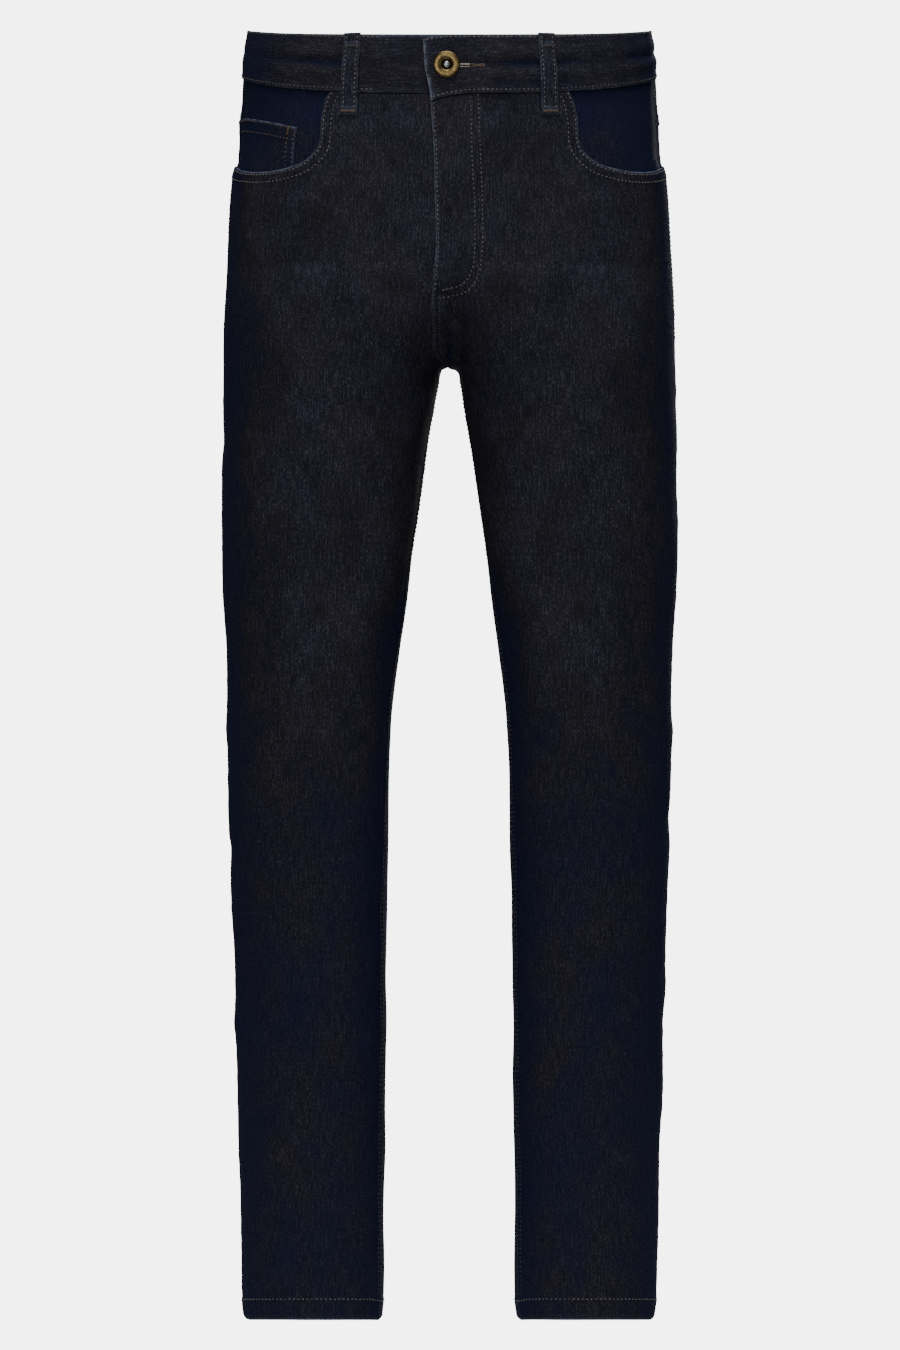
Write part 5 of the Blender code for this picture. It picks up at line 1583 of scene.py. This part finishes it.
def make_button():
    """The button: a turned ring with small dashes, a recess, a dome and its post."""
    level = form_points(*place_at(0.0, BUTTON.height))[1]
    place = np.array([BUTTON.across, float(level), BUTTON.height - WAIST_HEIGHT])
    ring = turned_mesh("button_ring", smooth_profile(BUTTON_RING, 64), place, "antique_brass")
    # The recess is a black disc round the dome: painted shade in the button's hole.
    recess = turned_mesh("button_recess", smooth_profile(BUTTON_RECESS, 16), place, "blackened_brass")
    dome = turned_mesh("button_dome", smooth_profile(BUTTON_DOME, 18), place, "nickel_plate")
    for piece, slot in ((ring, "brass"), (recess, "brass"), (dome, "steel")):
        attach(piece, "root")
    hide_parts("button_cap")
    threads = []
    for k in range(DASH_COUNT):
        turn = math.tau * (k + 0.5) / DASH_COUNT
        radial = np.array([math.cos(turn), 0, math.sin(turn)])
        along = np.array([-math.sin(turn), 0, math.cos(turn)]) * DASH_HALVES[k % 3]
        middle = place + radial * DASH_RADIUS + np.array([0, -DASH_OUT, 0])
        threads.append((middle - along, middle + along, (0, -1, 0)))
    thread_piece("button_dashes", zip(*threads), 0.5 * MM, "blackened_brass")
    for node, surface in (("button_post", "nickel_plate"), ("zip", "woven_tape")):
        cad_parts[node].data.materials.clear()
        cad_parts[node].data.materials.append(material_of(surface))


# Materials.


def linear(code):
    """An sRGB hex colour as linear red, green, blue and alpha."""
    parts = [int(code[i : i + 2], 16) / 255 for i in (1, 3, 5)]
    return (*(c / 12.92 if c <= 0.04045 else ((c + 0.055) / 1.055) ** 2.4 for c in parts), 1.0)


def plug(node, inputs):
    """Gives a node's inputs their values, or links them to other nodes' outputs."""
    for key, value in inputs.items():
        if isinstance(value, bpy.types.NodeSocket):
            node.id_data.links.new(value, node.inputs[key])
        else:
            node.inputs[key].default_value = value


def add(tree, kind, out, inputs, **settings):
    """An output of a new node of a kind, with its inputs and its settings."""
    node = tree.nodes.new("ShaderNode" + kind)
    for name, value in settings.items():
        setattr(node, name, value)
    plug(node, inputs)
    return node.outputs[out] if node.outputs else node


def mixed(tree, share, first, second):
    """A mix of two colours."""
    return add(tree, "Mix", 2, {"Factor": share, 6: first, 7: second}, data_type="RGBA")


def bumped(tree, height, strength, distance=0.0002):
    """The surface's direction on a bump."""
    return add(tree, "Bump", "Normal", {"Height": height, "Strength": strength, "Distance": distance})


def named(tree, label):
    """A value that each point of the mesh has under a name."""
    return add(tree, "Attribute", "Fac", {}, attribute_name=label)


def object_place(tree):
    """The place on the object."""
    return add(tree, "TexCoord", "Object", {})


def new_material(name):
    """A material's node tree and its Principled shader."""
    made = bpy.data.materials.new(name)
    made.use_nodes = True
    return made.node_tree, made.node_tree.nodes["Principled BSDF"]


CLAMPED = {"operation": "MULTIPLY", "use_clamp": True}


def denim(name, ground, worn, fleck, wash_gain, fleck_gain):
    """Indigo ring-spun denim, warp-faced twill, laundered once: a near-black blue ground, a greyer brown-blue where
    it has worn and where light is painted on it, fine pale flecks where the white core of the warp shows, and slubs
    that run down the cloth."""
    tree, shader = new_material(name)
    weave = add(tree, "UVMap", "UV", {}, uv_map="weave")
    wash, rub = (named(tree, label) for label in ("wash", "rub"))

    def noise(across, up, detail, roughness):
        place = add(tree, "Mapping", "Vector", {"Vector": weave, "Scale": (across, up, 1)})
        inputs = {"Vector": place, "Scale": 1.0, "Detail": detail, "Roughness": roughness}
        return add(tree, "TexNoise", "Fac", inputs, noise_dimensions="2D")

    # Bare warp yarns, 0.5 mm wide and 2 to 4 mm long.
    warp = noise(1900, 360, 2.0, 0.6)
    # The crossings of the yarns, 0.7 mm apart.
    crossings = noise(1400, 1400, 2.0, 0.6)
    # Slubs are 12 to 20 mm long and a yarn wide.
    slub = noise(820, 70, 2.0, 0.55)
    # Uneven fading, in patches of 20 to 60 mm: bluer and browner ones by turns.
    mottle = noise(34, 26, 3.0, 0.6)
    tint = noise(19, 15, 2.0, 0.5)
    # The twill line climbs to the right at about 60 degrees, 1.6 mm apart so that it shows, from 0.9 mm.
    slant = {"Vector": weave, "Rotation": (0, 0, math.radians(-32)), "Scale": (1000, 1000, 1)}
    inputs = {"Scale": 0.20, "Distortion": 1.2, "Detail": 1.0, "Detail Scale": 2.0}
    inputs["Vector"] = add(tree, "Mapping", "Vector", slant)
    twill = add(tree, "TexWave", "Fac", inputs, bands_direction="X")

    def spread(value, *bounds, **settings):
        keys = ("From Min", "From Max", "To Min", "To Max")
        return add(tree, "MapRange", "Result", {"Value": value, **dict(zip(keys, bounds))}, **settings)

    def times(first, second):
        return add(tree, "Math", "Value", {0: first, 1: second}, **CLAMPED)

    amount = times(times(wash, spread(mottle, 0.36, 0.64, 0.70, 1.20)), wash_gain)
    bluer = (worn[0] * 0.76, worn[1] * 0.94, worn[2] * 1.15, 1.0)
    blue = mixed(tree, spread(tint, 0.4, 0.6, 0.0, 0.9), worn, bluer)
    # The amount takes the blue off first, and lightens the cloth after that, for wear and painted light alike.
    dark = (*(part * 0.66 for part in worn[:3]), 1.0)
    greyed = mixed(tree, spread(amount, 0.10, 0.62, 0.0, 1.0), ground, dark)
    base = mixed(tree, spread(amount, 0.4, 1.0, 0.0, 1.0), greyed, blue)
    grain = add(tree, "Mix", 0, {0: 0.4, 2: warp, 3: crossings})
    yarns = add(tree, "Mix", 0, {0: 0.25, 2: grain, 3: slub})
    speck = spread(yarns, 0.48, 0.67, 0.0, 1.0, interpolation_type="SMOOTHSTEP")
    flecked = mixed(tree, times(times(speck, spread(amount, 0.0, 1.0, 0.10, 1.0)), fleck_gain), base, fleck)
    # Folded edges are rubbed to a pale blue-grey, in breaks.
    colour = mixed(tree, times(rub, spread(grain, 0.38, 0.60, 0.25, 1.0)), flecked, linear("#687387"))
    bump = bumped(tree, add(tree, "Math", "Value", {0: yarns, 1: twill}), 0.45, 0.00035)
    plug(shader, {"Base Color": colour, "Normal": bump, "Roughness": 0.88, "Specular IOR Level": 0.04})


def indigo_denim():
    """The right side of the cloth."""
    sizes = bpy.context.scene.jeans_cloth
    colours = [(*colour, 1) for colour in (sizes.indigo, sizes.worn, sizes.fleck)]
    denim("indigo_denim", *colours, sizes.wash, sizes.flecks)


def denim_reverse():
    """The weft side of the same denim: white weft over indigo, a flat blue-grey."""
    denim("denim_reverse", linear("#3c4454"), linear("#59616e"), linear("#8d939c"), 0.8, 0.9)


def thread(name, dark, light):
    """Polyester-cotton topstitching thread, dyed: a soft twisted yarn that differs a little by stitch."""
    tree, shader = new_material(name)
    # The ply is 0.4 mm; it is drawn at 0.6 mm, so that it shows.
    ply = add(tree, "TexNoise", "Fac", {"Vector": object_place(tree), "Scale": 1600.0, "Detail": 1.0})
    both = add(tree, "Math", "Value", {0: named(tree, "tone"), 1: ply})
    colour = mixed(tree, add(tree, "Math", "Value", {0: both, 1: 0.62}, **CLAMPED), dark, light)
    bump = bumped(tree, ply, 0.4)
    plug(shader, {"Base Color": colour, "Normal": bump, "Roughness": 0.7, "Specular IOR Level": 0.2})


def tonal_thread():
    """The grey-brown thread of the long seams."""
    colours = bpy.context.scene.jeans_stitching
    thread("tonal_thread", (*colours.tonal_dark, 1), (*colours.tonal_light, 1))


def copper_thread():
    """The copper-brown thread of the waistband, the coin pocket and the belt loops' lower bartacks."""
    colours = bpy.context.scene.jeans_stitching
    thread("copper_thread", (*colours.copper_dark, 1), (*colours.copper_light, 1))


def shaded_thread():
    """The same grey-brown thread, darker: painted shade on the rows along the inner legs and below the fly, and on
    the fly's tack and the belt loops' top tacks.
    """
    thread("shaded_thread", linear("#201e20"), linear("#3f3c3c"))


def golden_thread():
    """The dull golden thread of the bartacks on the pockets."""
    thread("golden_thread", linear("#2f281f"), linear("#54462f"))


def worn_thread():
    """The tonal thread of the buttonhole, rubbed nearly white by the button."""
    thread("worn_thread", linear("#6f6a63"), linear("#a8a195"))


def worn_metal(name, bright, dull, roughness):
    """Plated zinc or brass, stamped and tumbled: a satin metal, darker where the antiquing has stayed."""
    tree, shader = new_material(name)
    # Tumbling marks are 0.5 to 2 mm across.
    noise = {"Vector": object_place(tree), "Scale": 700.0, "Detail": 4.0, "Roughness": 0.65}
    marks = add(tree, "TexNoise", "Fac", noise)
    share = add(tree, "MapRange", "Result", {"Value": marks, "From Min": 0.35, "From Max": 0.65})
    bounds = {"To Min": roughness - 0.15, "To Max": roughness + 0.22}
    rough = add(tree, "MapRange", "Result", {"Value": marks, **bounds})
    colour, bump = mixed(tree, share, dull, bright), bumped(tree, marks, 0.06)
    plug(shader, {"Base Color": colour, "Roughness": rough, "Normal": bump, "Metallic": 1.0})


def antique_brass():
    """Brass-plated zinc, antiqued: warm satin with brown in the low places."""
    worn_metal("antique_brass", (*bpy.context.scene.jeans_button.brass, 1), linear("#33281a"), 0.27)


def blackened_brass():
    """Black brass: the dark stamped dashes on the ring, and painted shade on the disc in the button's recess."""
    worn_metal("blackened_brass", linear("#1c1812"), linear("#0d0b09"), 0.55)


def nickel_plate():
    """Nickel-plated steel, tumbled: a cool satin grey."""
    worn_metal("nickel_plate", linear("#a3a5a7"), linear("#5c5e61"), 0.30)


def woven_tape():
    """Polyester zip tape, herringbone woven and piece dyed: a flat dark navy with fine ribs."""
    tree, shader = new_material("woven_tape")
    # Ribs are 0.8 mm apart.
    inputs = {"Vector": object_place(tree), "Scale": 200.0, "Distortion": 0.4}
    ribs = add(tree, "TexWave", "Fac", inputs, bands_direction="Z")
    colour = mixed(tree, ribs, linear("#14161f"), linear("#232633"))
    plug(shader, {"Base Color": colour, "Normal": bumped(tree, ribs, 0.5), "Roughness": 0.8})


def painted_floor():
    """A floor of sealed plaster, floated smooth: pale, with a slight cloudiness."""
    tree, shader = new_material("painted_floor")
    cloud = add(tree, "TexNoise", "Fac", {"Vector": object_place(tree), "Scale": 3.0, "Detail": 3.0})
    colour = mixed(tree, cloud, (*bpy.context.scene.jeans_studio.floor_colour, 1), linear("#e9e8e6"))
    plug(shader, {"Base Color": colour, "Roughness": 0.75})


def material_of(name):
    """A material by its name, made when it is first asked for."""
    if name not in bpy.data.materials:
        next(make for make in FINISHES if make.__name__ == name)()
    return bpy.data.materials[name]


FINISHES = (indigo_denim, denim_reverse, tonal_thread, copper_thread, shaded_thread, golden_thread, worn_thread)
FINISHES += (antique_brass, blackened_brass, nickel_plate, woven_tape, painted_floor)


# The studio.

LENS_SENSOR = 36.0
CAMERA_PLACE = (0.0005, -4.5, -0.5032)
VIEW_HEIGHT = 1.0985
FLOOR_HEIGHT = -1.20
FLOOR_RADIUS = 1.1
FLOOR_THICKNESS = 0.04
MIDDLE = (0, 0, -0.45)


def stand(name, data, place, turn=(0, 0, 0)):
    """A lamp or camera in the scene, at a place and turned."""
    obj = bpy.data.objects.new(name, data)
    bpy.context.scene.collection.objects.link(obj)
    obj.location, obj.rotation_euler = place, turn
    return obj


def soft_box(name, place, size, power):
    """A soft light at a place, aimed at the garment's middle."""
    lamp = bpy.data.lights.new(name, "AREA")
    lamp.shape = "RECTANGLE"
    lamp.size, lamp.size_y = size
    lamp.energy = power
    x, y, z = np.array(MIDDLE) - np.array(place)
    stand(name, lamp, place, (math.atan2(math.hypot(x, y), -z), 0, math.atan2(-x, y)))


def make_floor():
    """A round plain floor below the garment."""
    edge = FLOOR_HEIGHT - 0.01
    foot = FLOOR_HEIGHT - FLOOR_THICKNESS
    profile = [(0, foot), (FLOOR_RADIUS, foot), (FLOOR_RADIUS, edge), (FLOOR_RADIUS - 0.01, FLOOR_HEIGHT)]
    floor = turned_mesh("floor", [*profile, (0, FLOOR_HEIGHT)], (0, 0, 0), "painted_floor")
    floor.data.polygons.foreach_set("use_smooth", np.zeros(len(floor.data.polygons), bool))
    floor.rotation_euler = (math.radians(-90), 0, 0)


def make_backdrop():
    """Even white surroundings, brighter to the camera than as a light."""
    studio = bpy.context.scene.jeans_studio
    world = bpy.data.worlds.new("surroundings")
    world.use_nodes = True
    tree = world.node_tree
    tree.nodes.clear()
    seen, white = add(tree, "LightPath", "Is Camera Ray", {}), linear("#ffffff")
    strengths = (studio.fill, studio.backdrop)
    lit, shown = (add(tree, "Background", 0, {"Color": white, "Strength": strength}) for strength in strengths)
    add(tree, "OutputWorld", None, {"Surface": add(tree, "MixShader", 0, {0: seen, 1: lit, 2: shown})})
    bpy.context.scene.world = world


def make_camera():
    """The camera, straight in front and level."""
    lens = bpy.data.cameras.new("camera")
    lens.sensor_width = LENS_SENSOR
    lens.lens = LENS_SENSOR * -CAMERA_PLACE[1] / VIEW_HEIGHT
    bpy.context.scene.camera = stand("camera", lens, CAMERA_PLACE, (math.radians(90), 0, 0))


# The add-on.


def length(name, description, default, low, high):
    """A property that holds a length."""
    return bpy.props.FloatProperty(
        name=name, description=description, default=default * MM, min=low * MM, max=high * MM, unit="LENGTH"
    )


def amount(name, description, default, high, **kind):
    """A property that holds an amount from 0 up."""
    return bpy.props.FloatProperty(name=name, description=description, default=default, min=0.0, max=high, **kind)


def colour(name, description, code):
    """A property that holds a colour."""
    return bpy.props.FloatVectorProperty(
        name=name, description=description, default=linear(code)[:3], min=0.0, max=1.0, subtype="COLOR"
    )


class JeansCloth(bpy.types.PropertyGroup):
    """Sizes and colours of the denim."""

    thickness: length("Cloth", "Thickness of the denim", 1.2, 0.5, 2)
    fold_depth: amount("Folds", "How deep the folds are", 1.0, 2.0, subtype="FACTOR")
    indigo: colour("Indigo", "Colour of the unworn cloth", "#0d1126")
    worn: colour("Worn", "Colour where the indigo has worn", "#18171d")
    fleck: colour("Fleck", "Colour of the pale flecks", "#3f3c47")
    # Scales the wear and the painted light and shade together.
    wash: amount("Wash", "How far the wash has gone", 1.0, 2.0, subtype="FACTOR")
    flecks: amount("Flecks", "How strong the flecks are", 0.9, 1.0, subtype="FACTOR")


class JeansStitching(bpy.types.PropertyGroup):
    """Sizes and colours of the stitching."""

    pitch: length("Pitch", "Length of one stitch", 3.7, 2, 6)
    thickness: length("Thread", "Thickness of the thread", 0.75, 0.3, 1)
    gap: amount("Gap", "Share of the pitch that is bare at each end of a stitch", 0.27, 0.4, subtype="FACTOR")
    tonal_dark: colour("Tonal, dark", "Darkest tonal thread", "#35312f")
    tonal_light: colour("Tonal, light", "Lightest tonal thread", "#6e6762")
    copper_dark: colour("Copper, dark", "Darkest copper thread", "#332b28")
    copper_light: colour("Copper, light", "Lightest copper thread", "#564840")


class JeansButton(bpy.types.PropertyGroup):
    """Colours of the button."""

    brass: colour("Brass", "Colour of the plating", "#6c5c3a")


class JeansStudio(bpy.types.PropertyGroup):
    """Light and floor of the studio."""

    fill: amount("Fill", "Brightness of the surroundings", 0.25, 3.0)
    backdrop: amount("Backdrop", "Brightness of the backdrop that the camera sees", 5.6, 10.0)
    key: amount("Key", "Power of the front lights", 78.0, 1000.0, unit="POWER")
    floor_colour: colour("Floor", "Colour of the floor", "#dedcd9")


class JEANS_OT_fronts(bpy.types.Operator):
    """Builds the two fronts"""

    bl_idname = "jeans.fronts"
    bl_label = "Fronts"

    def execute(self, context):
        make_front(FRONT_LEFT)
        make_front(FRONT_RIGHT)
        return {"FINISHED"}


class JEANS_OT_backs(bpy.types.Operator):
    """Builds the two backs and their yokes"""

    bl_idname = "jeans.backs"
    bl_label = "Backs and Yokes"

    def execute(self, context):
        for panel in (BACK_LEFT, BACK_RIGHT):
            make_back(panel)
            make_yoke(panel)
        return {"FINISHED"}


class JEANS_OT_waistband(bpy.types.Operator):
    """Builds the waistband"""

    bl_idname = "jeans.waistband"
    bl_label = "Waistband"

    def execute(self, context):
        make_waistband()
        return {"FINISHED"}


class JEANS_OT_belt_loops(bpy.types.Operator):
    """Builds the five belt loops"""

    bl_idname = "jeans.belt_loops"
    bl_label = "Belt Loops"

    def execute(self, context):
        for loop in LOOPS:
            make_belt_loop(loop)
        return {"FINISHED"}


class JEANS_OT_front_pockets(bpy.types.Operator):
    """Builds the front pockets' facings and the coin pocket"""

    bl_idname = "jeans.front_pockets"
    bl_label = "Front Pockets"

    def execute(self, context):
        make_facing(FRONT_LEFT)
        make_facing(FRONT_RIGHT)
        make_coin_pocket()
        return {"FINISHED"}


class JEANS_OT_back_pockets(bpy.types.Operator):
    """Builds the back pockets"""

    bl_idname = "jeans.back_pockets"
    bl_label = "Back Pockets"

    def execute(self, context):
        make_back_pocket(BACK_LEFT)
        make_back_pocket(BACK_RIGHT)
        return {"FINISHED"}


class JEANS_OT_fly(bpy.types.Operator):
    """Builds the fly's shield"""

    bl_idname = "jeans.fly"
    bl_label = "Fly"

    def execute(self, context):
        make_fly_shield()
        return {"FINISHED"}


class JEANS_OT_button(bpy.types.Operator):
    """Builds the button, and finishes its post and the zip's tape"""

    bl_idname = "jeans.button"
    bl_label = "Button"

    def execute(self, context):
        make_button()
        return {"FINISHED"}


class JEANS_OT_stitching(bpy.types.Operator):
    """Sews the rows of stitches"""

    bl_idname = "jeans.stitching"
    bl_label = "Stitching"

    def execute(self, context):
        fronts, backs = (FRONT_LEFT, FRONT_RIGHT), (BACK_LEFT, BACK_RIGHT)
        low, crotch = HEM_HEIGHT + MM, CROTCH_HEIGHT - 0.012
        mouths = [row for panel in fronts for row in mouth_rows(panel)]
        fly = fly_rows()
        sew("front_stitching", [*mouths, *fly[:3]], 81)
        hems = [hem_row(panel) for panel in (*fronts, *backs)]
        sides = [seam_row(panel, 2.2 * MM, 0.800, 0.934, from_side=True) for panel in fronts]
        sew("hem_stitching", hems + sides, 87)
        legs = [seam_row(panel, gap, low, crotch) for panel in fronts for gap in ROW_GAPS]
        # The rows along the inner legs and below the fly are in the darker thread: painted shade.
        sew("leg_stitching", legs + fly[3:], 82, "shaded_thread")
        behind = [row for panel in backs for row in (*yoke_rows(panel), *pocket_rows(panel))]
        sew("back_stitching", behind + seat_rows(), 83)
        around, middle = band_rows()
        sew("waistband_stitching", around + coin_rows(), 84, "copper_thread")
        sew("waistband_front_stitching", middle, 88)
        sew("belt_loop_stitching", [row for loop in LOOPS for row in loop_rows(loop)], 85)
        return {"FINISHED"}


class JEANS_OT_tacks(bpy.types.Operator):
    """Sews the bartacks and the buttonhole"""

    bl_idname = "jeans.tacks"
    bl_label = "Bartacks and Buttonhole"

    def execute(self, context):
        middles = [loop_face(loop, 0.0, 0.05 * MM) for loop in LOOPS]
        # The belt loops' top tacks are in the darker thread: painted shade.
        for name, at, seed, surface in (
            ("loop_foot_tacks", LOOP_TACKS[0], 86, "copper_thread"),
            ("loop_top_tacks", LOOP_TACKS[1], 89, "shaded_thread")
        ):
            sew_tacks(name, [tack_at(row, at, LOOP_WIDTH * 0.86, across=True) for row in middles], seed, surface)
        # The fly's tack is in the darker thread: painted shade.
        sew_tacks("fly_tack", [tack_at(fly_rows()[0], 0.965, TACK_LENGTH)], 91, "shaded_thread")
        tacks = [tack_at(coin_rows()[3], 0.93, TACK_LENGTH)]
        for panel in (BACK_LEFT, BACK_RIGHT):
            tacks += [tack_at(pocket_rows(panel)[0], at, 6.0 * MM) for at in (0.035, 0.965)]
        sew_tacks("pocket_tacks", tacks, 90, "golden_thread")
        worn, clean = [], []
        for thread in buttonhole_threads():
            (worn if thread[0][0] < HOLE_WORN else clean).append(thread)
        thread_piece("buttonhole_worn_stitching", zip(*worn), HOLE_THREAD, "worn_thread")
        thread_piece("buttonhole_stitching", zip(*clean), HOLE_THREAD, "copper_thread")
        return {"FINISHED"}


class JEANS_OT_studio(bpy.types.Operator):
    """Sets up the floor, the lights, the surroundings and the camera"""

    bl_idname = "jeans.studio"
    bl_label = "Studio"

    def execute(self, context):
        power = context.scene.jeans_studio.key
        make_floor()
        make_backdrop()
        make_camera()
        soft_box("front_light", (-0.6, -3.6, 0.3), (2.2, 2.6), power)
        soft_box("top_light", (0.3, -1.6, 2.4), (2.0, 1.2), power * 0.6)
        soft_box("side_light", (2.1, -2.4, 0.1), (0.3, 1.0), power * 0.05)
        soft_box("back_light", (0.4, 3.4, 0.6), (2.2, 2.6), power * 1.7)
        soft_box("overhead_light", (0.0, 0.05, 2.7), (2.6, 2.6), power * 1.4)
        return {"FINISHED"}


class JEANS_PT_panel(bpy.types.Panel):
    """The jeans' sizes, colours and pieces"""

    bl_idname = "JEANS_PT_panel"
    bl_label = "Slim Fit Jeans"
    bl_space_type = "VIEW_3D"
    bl_region_type = "UI"
    bl_category = "Jeans"

    def draw(self, context):
        layout = self.layout
        for name in GROUPS:
            group = getattr(context.scene, name)
            box = layout.box()
            for key in type(group).__annotations__:
                box.prop(group, key)
        for operator in OPERATORS:
            layout.operator(operator.bl_idname)


GROUPS = {
    "jeans_cloth": JeansCloth, "jeans_stitching": JeansStitching, "jeans_button": JeansButton,
    "jeans_studio": JeansStudio
}
OPERATORS = (
    JEANS_OT_studio, JEANS_OT_fronts, JEANS_OT_backs, JEANS_OT_waistband, JEANS_OT_belt_loops, JEANS_OT_front_pockets,
    JEANS_OT_back_pockets, JEANS_OT_fly, JEANS_OT_button, JEANS_OT_stitching, JEANS_OT_tacks
)


def register():
    for group in GROUPS.values():
        bpy.utils.register_class(group)
    for operator in (*OPERATORS, JEANS_PT_panel):
        bpy.utils.register_class(operator)
    for name, group in GROUPS.items():
        setattr(bpy.types.Scene, name, bpy.props.PointerProperty(type=group))


def unregister():
    for name in GROUPS:
        delattr(bpy.types.Scene, name)
    for operator in (JEANS_PT_panel, *reversed(OPERATORS)):
        bpy.utils.unregister_class(operator)
    for group in GROUPS.values():
        bpy.utils.unregister_class(group)


def main():
    """Registers the add-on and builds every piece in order."""
    register()
    bpy.ops.jeans.studio()
    bpy.ops.jeans.fronts()
    bpy.ops.jeans.backs()
    bpy.ops.jeans.waistband()
    bpy.ops.jeans.belt_loops()
    bpy.ops.jeans.front_pockets()
    bpy.ops.jeans.back_pockets()
    bpy.ops.jeans.fly()
    bpy.ops.jeans.button()
    bpy.ops.jeans.stitching()
    bpy.ops.jeans.tacks()


if __name__ == "__main__":
    main()
